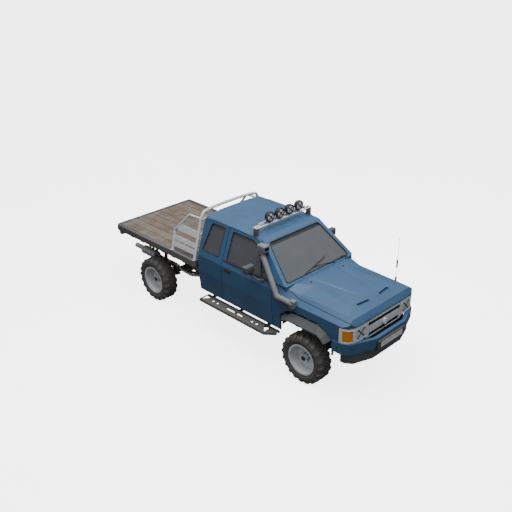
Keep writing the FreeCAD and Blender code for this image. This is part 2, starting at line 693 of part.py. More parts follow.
def frame_brackets():
    """Spring hangers, damper towers and arms, body pads, tray mounts and the tow bar."""
    low, deep, kick = S.rail_low, S.rail_deep, S.rail_kick
    inner = S.rail_half - S.rail_wide / 2
    height = LEAVES * S.leaf_thick
    front_eye = spring_base() + height + S.front_sag + 6
    rear_eye = spring_base() + height + S.rear_sag + 6
    tower_x = S.rail_half + S.rail_wide / 2
    tower_reach = S.liner_half - tower_x
    arm_reach = S.rear_damper_x + S.damper_radius - inner
    parts = []
    for side in (RIGHT, LEFT):
        tag = "_%d" % side
        parts += [
            *front_hanger("front_hanger" + tag, S.front_axle_y - S.front_span, front_eye, side),
            *front_hanger("front_shackle" + tag, S.front_axle_y + S.front_span, front_eye, side),
            *front_hanger("rear_hanger" + tag, S.rear_axle_y - S.rear_span, rear_eye, side),
            *hanger("rear_shackle" + tag, S.rear_axle_y + S.rear_span, rear_eye, low + kick, side),
        ]
        corner = tower_x if side == LEFT else -tower_x - tower_reach
        parts.append(box("damper_tower" + tag, (corner, S.front_axle_y - 28, low + deep + 118),
                         (tower_reach, 56, 10)))
        leg_corner = tower_x - 12 if side == LEFT else -tower_x
        parts.append(box("damper_leg" + tag, (leg_corner, S.front_axle_y - 28, low + deep - 20), (12, 56, 148)))
        corner = inner if side == LEFT else -inner - arm_reach
        parts.append(box("damper_arm" + tag, (corner, S.rear_axle_y - 28, rail_top_rear() + 10), (arm_reach, 56, 12)))
        foot_corner = inner if side == LEFT else -inner - S.rail_wide
        parts.append(box("damper_foot" + tag, (foot_corner, S.rear_axle_y - 28, rail_top_rear()),
                         (S.rail_wide, 56, 12)))
        for number, y in enumerate((S.firewall_y + 60, S.door_rear - 300, S.cab_rear - 90)):
            parts.append(rod("body_pad%s_%d" % (tag, number), (side * S.rail_half, y, low + deep), Z, 26,
                             S.floor_z - low - deep))
        for number, y in enumerate((S.kick_end + 40, S.rear_axle_y + 200, S.frame_rear - 160)):
            parts.append(box("tray_mount%s_%d" % (tag, number),
                             (side * S.rail_half - S.runner_wide / 2, y, rail_top_rear()),
                             (S.runner_wide, 120, runner_low() - rail_top_rear())))
    tongue_z = low + kick - 130
    parts.append(box_across("tow_drop", 45, S.frame_rear - 70, tongue_z, 60, 145))
    parts.append(box_across("tow_tongue", 38, S.frame_rear - 70, tongue_z, 190, 22))
    bore = rod("tow_bore", (0, S.frame_rear + 82, tongue_z - 10), Z, 11, 50)
    node("frame_brackets", cut("frame_brackets_shape", fuse("frame_brackets_solid", *parts),
                               nodes["ladder_frame"], bore))


def front_hanger(label, y, eye_z, side):
    """A hanger whose plates reach up beside the rail's underside."""
    return hanger(label, y, eye_z, S.rail_low + 10, side)


def engine_block():
    """The engine with its gearbox and transfer case, as plain joined blocks."""
    engine = box_across("engine", 185, S.front_axle_y - 390, 545, 690, 520)
    bell = box_across("bell_housing", 150, S.front_axle_y + 300, 450, 60, 230)
    gearbox = box_across("gearbox", 105, S.front_axle_y + 360, 450, 620, S.rail_low + 15 - 450)
    transfer = box("transfer_case", (-246, S.front_axle_y + 800, 440), (351, 180, 200))
    node("engine_block", fuse("engine_block_shape", engine, bell, gearbox, transfer))


def shaft(label, start, end, radius):
    """A propshaft with a joint yoke at each end."""
    start, end = [Vector(*[float(value) for value in point]) for point in (start, end)]
    run = end - start
    return fuse(label, rod(label + "_tube", tuple(start), run, radius, run.Length),
                rod(label + "_yoke_a", tuple(start), run, radius + 14, 60),
                rod(label + "_yoke_b", tuple(start + run * (1 - 60 / run.Length)), run, radius + 14, 60))


def propshafts():
    z = S.tyre_radius
    case_front, case_rear = S.front_axle_y + 800, S.front_axle_y + 980
    front = shaft("front_propshaft", (S.front_diff_x, case_front - 6.6, 500),
                  (S.front_diff_x, S.front_axle_y + 156.6, z + 8), 24)
    rear = shaft("rear_propshaft", (0, case_rear + 2.7, 510), (0, S.rear_axle_y - 193, z + 8), 32)
    node("propshafts", together("propshafts_shape", front, rear))


def exhaust():
    """A pipe under the cab and over the rear axle, with the silencer beside the right rail."""
    rail_out = S.rail_half + S.rail_wide / 2
    x_in, x_out = -(S.rail_half - S.rail_wide / 2 - 43), -(rail_out + 95)
    z_low, z_high = S.rail_low - 45, 610
    pipe = tube("exhaust_pipe", (
        (x_in, S.front_axle_y + 250, z_low + 30), (x_in, S.front_axle_y + 500, z_low), (x_in, 800, z_low),
        (x_out, 1080, z_low), (x_out, 1300, z_low + 10), (x_out, 1480, z_high), (x_out, 2000, z_high)), 25, 90)
    body = rod("silencer", (x_out - 20, 1975, z_high), Y, 76, 370)
    tail = rod("tail_pipe", (x_out - 20, 2340, z_high + 12), Y, 44, 235)
    bore = rod("tail_bore", (x_out - 20, 2400, z_high + 12), Y, 38, 200)
    hanger_bar = box("silencer_strap", (x_out - 34, 2150, z_high + 60), (28, 40, runner_low() - z_high - 60))
    tie_bar = box("silencer_arm", (x_out - 34, 2150, runner_low() - 12), (x_out * -1 - rail_out + 60, 40, 12))
    node("exhaust", fuse("exhaust_shape", pipe, body, cut("tail", tail, bore), hanger_bar, tie_bar))


def fuel_tank():
    shell = box("fuel_tank_box", (70, S.door_rear - 180, 415), (235, 760, 190))
    tank = rounded("fuel_tank_shape", shell, 35, lambda edge: runs_along(edge, Y))
    node("fuel_tank", tank)


def runner_low():
    """Underside of the tray's runners."""
    return S.tray_top - S.tray_edge - S.runner_deep


# ---------------------------------------------------------------- cab

def cab_volume(label, inset, bottom):
    """The cab's outer shape drawn in by inset on every side, down to bottom."""
    section = prism(label + "_section", "XZ", in_both((
        (S.roof_half / 2, S.roof_top_z - inset), (S.roof_half - inset, S.roof_edge_z - inset),
        (S.body_half - inset, S.belt_z), (S.body_half - inset, S.crease_z), (S.sill_half - inset, bottom))),
        S.cowl_y - 60, S.cab_rear - S.cowl_y + 120)
    side = prism(label + "_side", "YZ", (
        (S.cab_rear - inset, bottom), (S.cab_rear - inset, S.window_top), (S.cab_rear - S.roof_fall - inset, S.roof_top_z + 5 - inset),
        (S.screen_top_y + 260, S.roof_top_z + 5 - inset), (S.screen_top_y + 75, S.screen_top_z + 38 - inset),
        (S.screen_top_y + inset * 0.9, S.screen_top_z - inset * 0.9), (S.cowl_y + inset * 1.3, S.cowl_z - inset * 0.2),
        (S.cowl_y + inset * 1.3, S.cowl_z - S.cowl_deep + inset * 0.5),
        (S.firewall_y + inset, S.cowl_z - S.cowl_deep), (S.firewall_y + inset, bottom)),
        -ANY / 2, ANY)
    return common(label, section, side)


def cab_outer():
    """The cab's skin with its roof edges and rear corners rounded."""
    raw = cab_volume("cab_solid", 0, S.sill_z)
    half, rear, window = float(S.roof_half), float(S.cab_rear), float(S.window_top)

    def roof_edge(points):
        return all(abs(abs(x) - half) < 2 and abs(z - float(S.roof_edge_z)) < 2 for x, y, z in points)

    def rear_corner(points):
        at_rear = all(y > rear - float(S.roof_fall) and abs(x) > half - 1 for x, y, z in points)
        across = abs(points[0][2] - points[1][2]) < 1
        return at_rear and (not across or all(abs(z - window) < 1 for x, y, z in points))

    def chosen(edge):
        points = [tuple(vertex.Point) for vertex in edge.Vertexes]
        return roof_edge(points) or rear_corner(points)

    return rounded("cab_rounded", raw, S.roof_round, chosen)


def door_outline(grow):
    """A door seen from the side, grown by grow all round."""
    return (
        (S.door_rear + grow * 1.2, S.door_low - grow), (S.door_rear + grow * 1.2, S.belt_z),
        (S.door_rear - S.door_swing_gap + grow * 2.2, S.door_top + grow),
        (S.screen_top_y + 105 - grow, S.door_top + grow), (S.screen_top_y + 45 - grow, S.door_top - 50 + grow),
        (S.door_front + 40 - grow, S.belt_z + 50 + grow), (S.door_front - grow, S.belt_z), (S.door_front - grow, S.door_low - grow),
    )


def door_window():
    return (
        (S.door_rear - 75, S.window_low), (S.door_rear - 91, S.window_top), (S.screen_top_y + 205, S.window_top),
        (S.screen_top_y + 75, S.window_top - 55), (S.door_front + 100, S.window_low),
    )


def quarter_window():
    rear, front = S.cab_rear - 101, S.door_rear + 98
    return (
        (rear, S.window_low), (rear - 105, S.window_top), (front - 25, S.window_top), (front, S.window_low),
    )


def windscreen_outline():
    return in_both(((S.roof_half - 62, S.screen_top_z - 24), (S.body_half - 112, S.cowl_z + 28)))


def slot_through(label, plane_outline, from_x, to_x):
    """A side window or door cut through one side wall of the cab."""
    return prism(label, "YZ", plane_outline, from_x, to_x - from_x)


def side_span(side, clear=0):
    """The reach across one side wall, clear of its inner limit: the two limits in order."""
    inner, outer = S.roof_half - S.wall + clear, S.body_half + 60
    return (inner, outer) if side == LEFT else (-outer, -inner)


def sill_block(label, clear):
    """The part of the floor that a door opening leaves standing: a door stays clear of it."""
    return box_across(label, S.sill_half - S.wall + clear, S.firewall_y, 0,
                      S.cab_rear - S.firewall_y, S.floor_z + S.floor_thick)


def fender_inner():
    """Half width of the cab between the fenders, just inside their walls."""
    return S.body_half - S.nose_wall - 18


def cab_parts():
    outer = cab_outer()
    inner = cab_volume("cab_room", S.wall, S.floor_z + S.floor_thick)
    tools = [inner]
    tools.append(box_across("under_floor", S.sill_half - S.wall - 20, S.firewall_y - 20, 0,
                            S.cab_rear - S.firewall_y + 40, S.floor_z))
    tools.append(prism("windscreen_cut", "XZ", windscreen_outline(), S.cowl_y - 100, S.screen_top_y - S.cowl_y + 180))
    rear_low, rear_high = S.window_low + 10, S.window_top - 50
    tools.append(box_across("rear_window_cut", S.roof_half - 110, S.cab_rear - 90, rear_low, 200, rear_high - rear_low))
    for side in (RIGHT, LEFT):
        tag = "_%d" % side
        span = side_span(side)
        doorway = slot_through("doorway" + tag, door_outline(S.shut_gap), *span)
        tools.append(cut("door_opening" + tag, doorway, sill_block("sill_block" + tag, 0)))
        tools.append(slot_through("quarter_opening" + tag, quarter_window(), *span))
        corner = fender_inner() if side == LEFT else -ANY / 2
        tools.append(box("fender_room" + tag, (corner, S.cowl_y - 200, 0),
                         (ANY / 2 - fender_inner(), S.door_front - S.shut_gap - S.cowl_y + 200, S.cowl_z + 10)))
    node("cab_shell", cut("cab_shell_shape", outer, *tools))

    panes = []
    glass_set = S.wall * 0.3
    pane_shell = cut("pane_shell", cab_volume("pane_outer", glass_set, S.sill_z),
                     cab_volume("pane_inner", glass_set + S.glass, S.sill_z))
    for side in (RIGHT, LEFT):
        tag = "_%d" % side
        panes.append(common("quarter_pane" + tag, pane_shell,
                            slot_through("quarter_pane_outline" + tag, quarter_window(), *side_span(side))))
    lean_y, lean_z = S.screen_top_y - S.cowl_y, S.screen_top_z - S.cowl_z
    slab = prism("windscreen_slab", "YZ", (
        (S.cowl_y + 16, S.cowl_z), (S.screen_top_y + 16 + lean_y / 10, S.screen_top_z + lean_z / 10),
        (S.screen_top_y + 26 + lean_y / 10, S.screen_top_z + lean_z / 10), (S.cowl_y + 26, S.cowl_z)), -ANY / 2, ANY)
    panes.append(common("windscreen", slab, prism("windscreen_pane_outline", "XZ", windscreen_outline(),
                                                  S.cowl_y - 100, S.screen_top_y - S.cowl_y + 180)))
    panes.append(box_across("rear_pane", S.roof_half - 110, S.cab_rear - 22, rear_low, S.glass, rear_high - rear_low))
    node("cab_glass", together("cab_glass_shape", *panes))

    for name, side in (("right", RIGHT), ("left", LEFT)):
        span = side_span(side, S.shut_gap)
        slab = common("door_slab_" + name, outer, slot_through("door_block_" + name, door_outline(0), *span))
        hollow = cut("door_skin_" + name, slab, inner, sill_block("door_foot_" + name, S.shut_gap + 10))
        window = slot_through("door_window_" + name, door_window(), *span)
        node("door_" + name, cut("door_shape_" + name, hollow, window))
        node("door_glass_" + name, common("door_glass_shape_" + name, pane_shell,
             slot_through("door_pane_outline_" + name, door_window(), *span)))
        mirror_unit(name, side)


def mirror_unit(name, side):
    """A mirror head on a short arm at the front of the door's window."""
    head_x = S.mirror_reach - 175
    y = S.door_front + 160
    z = S.window_low + 85
    corner = head_x if side == LEFT else -S.mirror_reach
    head = box("mirror_head_" + name, (corner, y, z), (175, 88, 118))
    soft = rounded("mirror_soft_" + name, head, 22, lambda edge: True)
    foot_x, foot_z = S.body_half - 60, S.window_low - 50
    corner = foot_x if side == LEFT else -(head_x + 40)
    arm = box("mirror_arm_" + name, (corner, y + 22, foot_z), (head_x + 40 - foot_x, 44, 42))
    corner = head_x + 4 if side == LEFT else -(head_x + 40)
    post = box("mirror_post_" + name, (corner, y + 22, foot_z), (36, 44, z + 20 - foot_z))
    node("mirror_" + name, cut("mirror_shape_" + name, fuse("mirror_solid_" + name, soft, arm, post),
                               nodes["door_" + name]))


# ---------------------------------------------------------------- nose, bonnet and front

def nose_section(label, y, points, inset):
    """A closed section across the nose as a wire for the loft."""
    body = doc.addObject("Part::Feature", label)
    half = [Vector(float(x) - inset, float(y), float(z) - drop * inset) for x, z, drop in points]
    other = [Vector(-point.x, point.y, point.z) for point in reversed(half)]
    body.Shape = Part.makePolygon(half + other + [half[0]])
    return body


def nose_volume(label, inset):
    """Fenders and bonnet as one closed shape, drawn in by inset."""
    low = S.sill_z - 400 * (inset > 0)
    mid_half = (S.body_half + S.nose_half) / 2
    mid_shoulder = (S.shoulder_half + 20, S.shoulder_z + 12, 1)
    stations = (
        (S.door_front - S.shut_gap, ((S.body_half - 60, S.cowl_z + 8, 1), (S.body_half - 26, S.cowl_z - 10, 1),
                                      (S.body_half, S.belt_z, 0), (S.body_half, S.crease_z, 0), (S.sill_half, low, 0))),
        (S.fender_mid, ((S.shoulder_half * 0.6, S.bonnet_rear_z - 10, 1), mid_shoulder,
                        (mid_half - 8, S.fender_crease_z, 0), (mid_half, S.crease_z, 0), (S.sill_half, low, 0))),
        (S.nose_front - 30, ((S.shoulder_half * 0.6, S.bonnet_rear_z - 32, 1), (S.shoulder_half, S.shoulder_z, 1),
                             (S.nose_half, S.fender_crease_z, 0), (S.nose_half, S.crease_z, 0), (S.nose_half - 15, low, 0))),
    )
    loft = doc.addObject("Part::Loft", label + "_loft")
    loft.Sections = [nose_section("%s_section_%d" % (label, number), y, points, inset)
                     for number, (y, points) in enumerate(stations)]
    loft.Solid = True
    loft.Ruled = True
    side = prism(label + "_side", "YZ", (
        (S.door_front + 100, low), (S.bumper_rear, low), (S.bumper_rear, S.nose_low - 400 * (inset > 0)),
        (S.nose_front + inset, S.nose_low - 400 * (inset > 0)), (S.nose_front + inset, S.bonnet_lip_z - 14),
        (S.nose_front + 12 + inset, S.bonnet_lip_z + 8 - inset * 0.5), (S.nose_front + 62 + inset, S.bonnet_lip_z + 78 - inset),
        (S.bonnet_bend_y + 20, S.bonnet_bend_z - inset), (S.cowl_y, S.bonnet_rear_z - inset),
        (S.door_front + 100, S.bonnet_rear_z + 40 - inset)), -ANY / 2, ANY)
    front = S.nose_front + inset
    plan = prism(label + "_plan", "XY", (
        (-S.nose_half - 80, S.door_front + 100), (-S.nose_half - 80, front + 250), (-S.nose_half + inset, front + 130),
        (-S.nose_half + 40 + inset, front + 55), (-S.nose_half + 130 + inset, front + 10), (-S.nose_half + 250, front),
        (S.nose_half - 250, front), (S.nose_half - 130 - inset, front + 10), (S.nose_half - 40 - inset, front + 55),
        (S.nose_half - inset, front + 130), (S.nose_half + 80, front + 250), (S.nose_half + 80, S.door_front + 100)),
        0, ANY)
    return common(label, common(label + "_body", loft, side), plan)


def front_zone(label, inner, outer, low, high, deep, side):
    corner = inner if side == LEFT else -as_size(outer)
    return box(label, (corner, S.nose_front - 40, low), (outer - inner, deep, high - low))


def nose_parts():
    outer = nose_volume("nose_solid", 0)
    inner = nose_volume("nose_room", float(S.nose_wall))
    lid_zone = box_across("lid_zone", S.bonnet_half, S.nose_front - 60, S.lid_low,
                          S.cowl_y - S.shut_gap - S.nose_front + 60, 400)
    lid_room = box_across("lid_room", S.bonnet_half + S.shut_gap, S.nose_front - 70, S.band_top,
                          S.cowl_y - S.nose_front + 70, 400)
    lid_inner = nose_volume("lid_inner", float(S.bonnet_thick))
    lid = cut("bonnet_skin", common("bonnet_block", outer, lid_zone), lid_inner)
    scoops = [scoop("scoop_%d" % side, side) for side in (RIGHT, LEFT)]
    node("bonnet", cut("bonnet_shape", lid, *scoops))

    band = box_across("band_zone", ANY / 3, S.nose_front - 60, S.band_low, 240, S.band_top - S.band_low)
    chin = prism("chin_zone", "XZ", in_both(((S.grille_half + 45, S.band_low + 5), (S.grille_half + 10, S.grille_low))),
                 S.nose_front - 60, 300)
    lamps = {}
    for side in (RIGHT, LEFT):
        tag = "_%d" % side
        lamps["head" + tag] = front_zone("head_lamp_zone" + tag, S.lamp_inner, S.lamp_outer, S.lamp_low, S.lamp_top, 160, side)
        lamps["corner" + tag] = front_zone("corner_lamp_zone" + tag, S.corner_lamp_inner, ANY / 3, S.lamp_low, S.lamp_top, 175, side)
    front_zones = fuse("front_zones", band, chin)
    arches = [prism("arch_cut_%d" % side, "YZ", arch_outline(0), *((-ANY / 2, ANY / 2 - 480) if side == RIGHT else (480, ANY / 2)))
              for side in (RIGHT, LEFT)]
    tail_room = box_across("nose_middle", fender_inner(), S.cowl_y - 6, 0, ANY, ANY)
    bumper_zone = box_across("bumper_zone", ANY / 3, S.nose_front - 60, 0, S.bumper_rear - S.nose_front + 60,
                             S.bumper_top + S.seat_gap)
    panels = cut("nose_panels_cut", outer, inner, lid_room, front_zones, tail_room, bumper_zone, *arches)
    node("nose_panels", fuse("nose_panels_shape", panels, *door_hinges()))

    lamp_inner = nose_volume("lamp_inner_shape", 60.0)
    band_inner = nose_volume("band_inner_shape", 40.0)
    surround = cut("surround_solid", common("surround_block", outer, front_zones), band_inner)
    slots = []
    for number, (low, high, half) in enumerate((
            (S.band_top - 92, S.band_top - 30, S.grille_half), (S.grille_low + 30, S.grille_low + 92, S.grille_half - 22))):
        slots.append(box_across("grille_slot_%d" % number, half, S.nose_front - 60, low, 200, high - low))
    buffers = [rod("bonnet_buffer_%d" % side, (side * 300, S.nose_front + 20, S.band_top - 5), Z, 8,
                   S.lid_low - S.band_top + 5 - S.seat_gap) for side in (RIGHT, LEFT)]
    boss = rod("grille_boss", (0, S.nose_front - 22, (S.band_top + S.grille_low) / 2), Y, 46, 40)
    open_band = cut("surround_open", surround, *slots, *lamps.values())
    node("grille", fuse("grille_shape", open_band, boss, *buffers))

    units = []
    for key, zone in lamps.items():
        block = common("lamp_block_" + key, outer, zone)
        units.append(cut("lamp_unit_" + key, block, lamp_inner))
    node("headlights", together("headlights_shape", *units))


def door_hinges():
    """Hinge blocks on the fenders' rear edges, each a seat gap from its door."""
    blocks = []
    for side in (RIGHT, LEFT):
        for number, z in enumerate((S.crease_z + 130, S.crease_z - 210)):
            corner = S.body_half - 38 if side == LEFT else 6 - S.body_half
            blocks.append(box("door_hinge_%d_%d" % (side, number), (corner, S.door_front - S.shut_gap - 10, z),
                              (32, S.shut_gap + 10 - S.seat_gap, 60)))
    return blocks


def scoop(label, side):
    """A wedge cut into the bonnet: it deepens towards a slot under the bonnet's skin."""
    top = S.bonnet_bend_z + 40
    wedge = prism(label + "_wedge", "YZ", (
        (-95, 8), (0, -24), (0, 60), (-95, 60)), -118, 236)
    turn = Rotation(Z, 7 * side)
    wedge.Placement = Placement(Vector(), turn)
    return put(wedge, (side * 232, S.bonnet_bend_y + 30, top - 42))


def arch_outline(grow):
    """The front wheel arch seen from the side, open at the bottom."""
    y = S.front_axle_y
    rear, front, top = y + S.arch_rear + grow, y - S.arch_front - grow, S.arch_top + grow
    return (
        (rear, 0), (rear, top - 146), (rear - 128, top - 36), (rear - 252, top),
        (front + 262, top), (front + 86, top - 80), (front, top - 186), (front, 0),
    )


def flare(label, side):
    """A faceted arch flare: it leaves the fender and leans out to its lip over the tyre."""
    y = S.front_axle_y
    inner_line = [(y + S.arch_rear - 16, S.arch_top - 116), (y + S.arch_rear - 276, S.arch_top + 26),
                  (y - S.arch_front + 262, S.arch_top + 24), (y - S.arch_front + 76, S.arch_top - 52),
                  (y - S.arch_front - 14, S.arch_top - 158)]
    lip_line = [(y + S.arch_rear - 86, S.arch_top - 170), (y + S.arch_rear - 178, S.arch_top - 124),
                (y - S.arch_front + 188, S.arch_top - 122), (y - S.arch_front + 112, S.arch_top - 160),
                (y - S.arch_front + 58, S.arch_top - 216)]
    wires = []
    for number, (x, line) in enumerate(((S.nose_half - 40, inner_line), (S.flare_reach, lip_line))):
        over = [Vector(side * float(x), float(u), float(v)) for u, v in line]
        middle = Vector(side * float(x), float(y), float(S.tyre_radius))
        under = [point + (middle - point).normalize() * float(S.flare_thick) for point in reversed(over)]
        wire = doc.addObject("Part::Feature", "%s_wire_%d" % (label, number))
        wire.Shape = Part.makePolygon(over + under + [over[0]])
        wires.append(wire)
    loft = doc.addObject("Part::Loft", label + "_loft")
    loft.Sections = wires
    loft.Solid = True
    loft.Ruled = True
    return loft


def wheel_arches(nose):
    """Flares outside the fenders, and the dark liners inside them."""
    pieces = []
    for side in (RIGHT, LEFT):
        tag = "_%d" % side
        pieces.append(cut("flare" + tag, flare("flare_shape" + tag, side), nose))
        inner = S.liner_half
        outer = S.nose_half - S.nose_wall - 12
        span = (inner, outer - inner) if side == LEFT else (-outer, outer - inner)
        shell = prism("liner_block" + tag, "YZ", arch_outline(12), *span)
        room_span = (inner + 14, outer - inner) if side == LEFT else (-outer - 14, outer - inner)
        room = prism("liner_room" + tag, "YZ", arch_outline(0), *room_span)
        low = box("liner_floor" + tag, (-ANY / 2, S.front_axle_y - 900, 0), (ANY, 1800, S.rail_low + S.rail_deep + 10))
        pieces.append(cut("liner" + tag, shell, room, low))
    node("wheel_arches", together("wheel_arches_shape", *pieces))


def bumper_plan(inset, reach):
    """The bumper seen from above: bowed across the front and returned along the sides."""
    half = S.bumper_half - inset
    return [(-half, S.bumper_rear), (-half, S.nose_front + 120), (-half + 70, S.nose_front + 20), (-S.plate_half - 30, reach),
            (S.plate_half + 30, reach), (half - 70, S.nose_front + 20), (half, S.nose_front + 120), (half, S.bumper_rear)]


def front_bumper():
    high = S.bumper_top - S.bumper_low
    shell = prism("bumper_block", "XY", bumper_plan(0, S.bumper_front), S.bumper_low, high)
    room = prism("bumper_room", "XY", [(u, v + 55) if number in (1, 2, 3, 4, 5, 6) else (u, v - 10) for number, (u, v) in
                                       enumerate(bumper_plan(45, S.bumper_front))], S.bumper_low - 10, high + 20)
    notch = prism("plate_notch", "XZ", in_both(((S.plate_half + 10, S.bumper_low + 110), (S.plate_half + 60, S.bumper_low - 5))),
                  S.bumper_front - 20, 160)
    chin_room = prism("bumper_chin", "XZ", in_both(((S.grille_half + 60, S.bumper_top + 5), (S.grille_half + 14, S.grille_low - 6))),
                      S.nose_front - 45, 300)
    node("front_bumper", cut("front_bumper_shape", shell, room, notch, chin_room))


def bumper_valance():
    """The dark lower lip, the bumper's brackets and the holder of the blank number plate."""
    plan = bumper_plan(80, S.bumper_front + 45)
    plan[0] = (plan[0][0], S.nose_front + 190)
    plan[-1] = (plan[-1][0], S.nose_front + 190)
    lip = prism("lip_block", "XY", plan, S.valance_low, S.bumper_low - S.valance_low)
    lip_room = prism("lip_room", "XY", [(u * 0.93, v + 50) for u, v in plan[1:-1]] +
                     [(S.bumper_half - 140, S.nose_front + 200), (-S.bumper_half + 140, S.nose_front + 200)],
                     S.valance_low - 10, S.bumper_low - S.valance_low - 20)
    tow = cut("lip", lip, lip_room)
    holder = box_across("plate_holder", S.plate_half, S.plate_front, S.bumper_low - 30, S.bumper_front - S.plate_front + 60, 140)
    pocket = box_across("plate_pocket", S.plate_half - 35, S.plate_front - 5, S.bumper_low - 5, 13, 100)
    brackets = [box("bumper_bracket_%d" % side, (side * S.rail_half - 25, S.nose_front - 20, S.rail_low + 20),
                    (50, S.frame_front - S.nose_front + 20, 70)) for side in (RIGHT, LEFT)]
    node("bumper_valance", cut("bumper_valance_shape", fuse("valance_solid", tow, holder, *brackets), pocket,
                               nodes["front_bumper"]))


# ---------------------------------------------------------------- tray and headboard

def tray_frame():
    """The steel edge of the tray, its bearers and the two runners that stand on the frame."""
    low = S.tray_top - S.tray_edge
    long = S.tray_rear - S.tray_front
    block = box_across("tray_block", S.tray_half, S.tray_front, low, long, S.tray_edge)
    soft = rounded("tray_soft", block, S.tray_corner, lambda edge: runs_along(edge, Z))
    inner = box_across("tray_inner", S.tray_half - S.tray_rim, S.tray_front + S.tray_rim, low - 5, long - S.tray_rim * 2, ANY)
    parts = [cut("tray_ring", soft, inner)]
    bearer_top = S.tray_top - S.board_drop - S.board_thick
    step = (long - S.tray_rim * 2) / (S.bearer_count + 1)
    for number in range(int(float(S.bearer_count))):
        y = S.tray_front + S.tray_rim + step * (number + 1) - S.bearer_wide / 2
        parts.append(box_across("bearer_%d" % number, S.tray_half - S.tray_rim, y, low, S.bearer_wide, bearer_top - low))
    for number, y in enumerate((S.tray_front + S.tray_rim, S.tray_rear - S.tray_rim - 30)):
        parts.append(box_across("board_ledge_%d" % number, S.tray_half - S.tray_rim, y, low, 30, bearer_top - low))
    for side in (RIGHT, LEFT):
        x = side * S.rail_half - S.runner_wide / 2
        parts.append(box("runner_%d" % side, (x, S.tray_front + 20, runner_low()), (S.runner_wide, long - 60, S.runner_deep)))
    node("tray_frame", fuse("tray_frame_shape", *parts))


def tray_boards():
    """Long boards side by side on the bearers, with a gap between neighbours."""
    count = int(float(S.board_count))
    clear = S.tray_half * 2 - S.tray_rim * 2
    wide = (clear - S.board_gap * (count + 1)) / S.board_count
    low = S.tray_top - S.board_drop - S.board_thick
    start = S.tray_front + S.tray_rim + 2
    long = S.tray_rear - S.tray_front - S.tray_rim * 2 - 4
    boards = []
    for number in range(count):
        x = -clear / 2 + S.board_gap + (wide + S.board_gap) * number
        boards.append(box("board_%d" % number, (x, start, low), (wide, long, S.board_thick)))
    node("tray_boards", together("tray_boards_shape", *boards))


def headboard():
    """A hoop behind the cab with cross bars, and a leaning wing along each side of the tray."""
    foot_z, y, top = S.tray_top, S.hoop_y, S.hoop_top_z
    half = [(S.hoop_foot, y, foot_z), (S.hoop_foot - 92, y, foot_z + 359), (S.hoop_foot - 165, y, foot_z + 660),
            (S.hoop_foot - 225, y, top - 34), (S.hoop_foot - 350, y, top - 12), (S.hoop_foot * 0.25, y, top)]
    path = half + [(-as_size(px), py, pz) for px, py, pz in reversed(half)]
    parts = [tube("hoop", path, S.hoop_radius, 60)]
    for number, z in enumerate((foot_z + 150, foot_z + 400, foot_z + 640)):
        lean = float(z - foot_z) * math.tan(math.radians(float(S.wing_lean)))
        reach = S.hoop_foot - lean - 4
        parts.append(rod("cross_bar_%d" % number, (-reach, y, z), X, 17, reach * 2))
    for number, x in enumerate((-380, -190, 0, 190, 380)):
        parts.append(rod("upright_%d" % number, (x, y, foot_z + 150), Z, 12, 490))
    for side in (RIGHT, LEFT):
        parts.append(wing("wing_%d" % side, side))
        parts.append(box("hoop_foot_%d" % side, (side * S.hoop_foot - 36, y - 26, foot_z), (72, 52, 8)))
    deck = box_across("deck_zone", S.tray_half + 60, S.tray_front - 60, 0, S.tray_rear - S.tray_front, S.tray_top)
    node("headboard", cut("headboard_shape", fuse("headboard_solid", *parts), deck))


def wing(label, side):
    """A tube frame with a wide plate and two louvre slats, leaning inwards."""
    long = S.wing_length
    drop = 675.0
    frame = tube(label + "_frame", (
        (0, -10, drop), (0, long - 270, drop - 10), (0, long + 16, drop - 345), (0, long, 0)), S.wing_tube, 45)
    rails = []
    for number, (low, high, reach) in enumerate(((352, 462, long - 55), (188, 258, long), (78, 150, long))):
        rails.append(box("%s_rail_%d" % (label, number), (-10, 0, low), (20, reach, high - low)))
    back = box(label + "_slot_bar", (-6, long * 0.5 - 12, 80), (12, 24, 180))
    foot = box(label + "_foot", (-34, long - 34, -2), (68, 68, 8))
    solid = fuse(label + "_solid", frame, *rails, back, foot)
    solid.Placement = Placement(Vector(), Rotation(Y, -float(S.wing_lean) * side))
    return put(solid, (side * S.hoop_foot, S.hoop_y, S.tray_top + 2))


def tail_lamps():
    """A lamp on a bracket under each rear corner of the tray."""
    units = []
    low = S.tray_top - S.tray_edge
    for side in (RIGHT, LEFT):
        corner = S.tray_half - 270 if side == LEFT else -S.tray_half + 50
        lamp = box("tail_lamp_%d" % side, (corner, S.tray_rear - 62, low - 105), (220, 58, 105))
        units.append(rounded("tail_lamp_soft_%d" % side, lamp, 10, lambda edge: runs_along(edge, Y)))
    node("tail_lamps", together("tail_lamps_shape", *units))


# ---------------------------------------------------------------- fittings

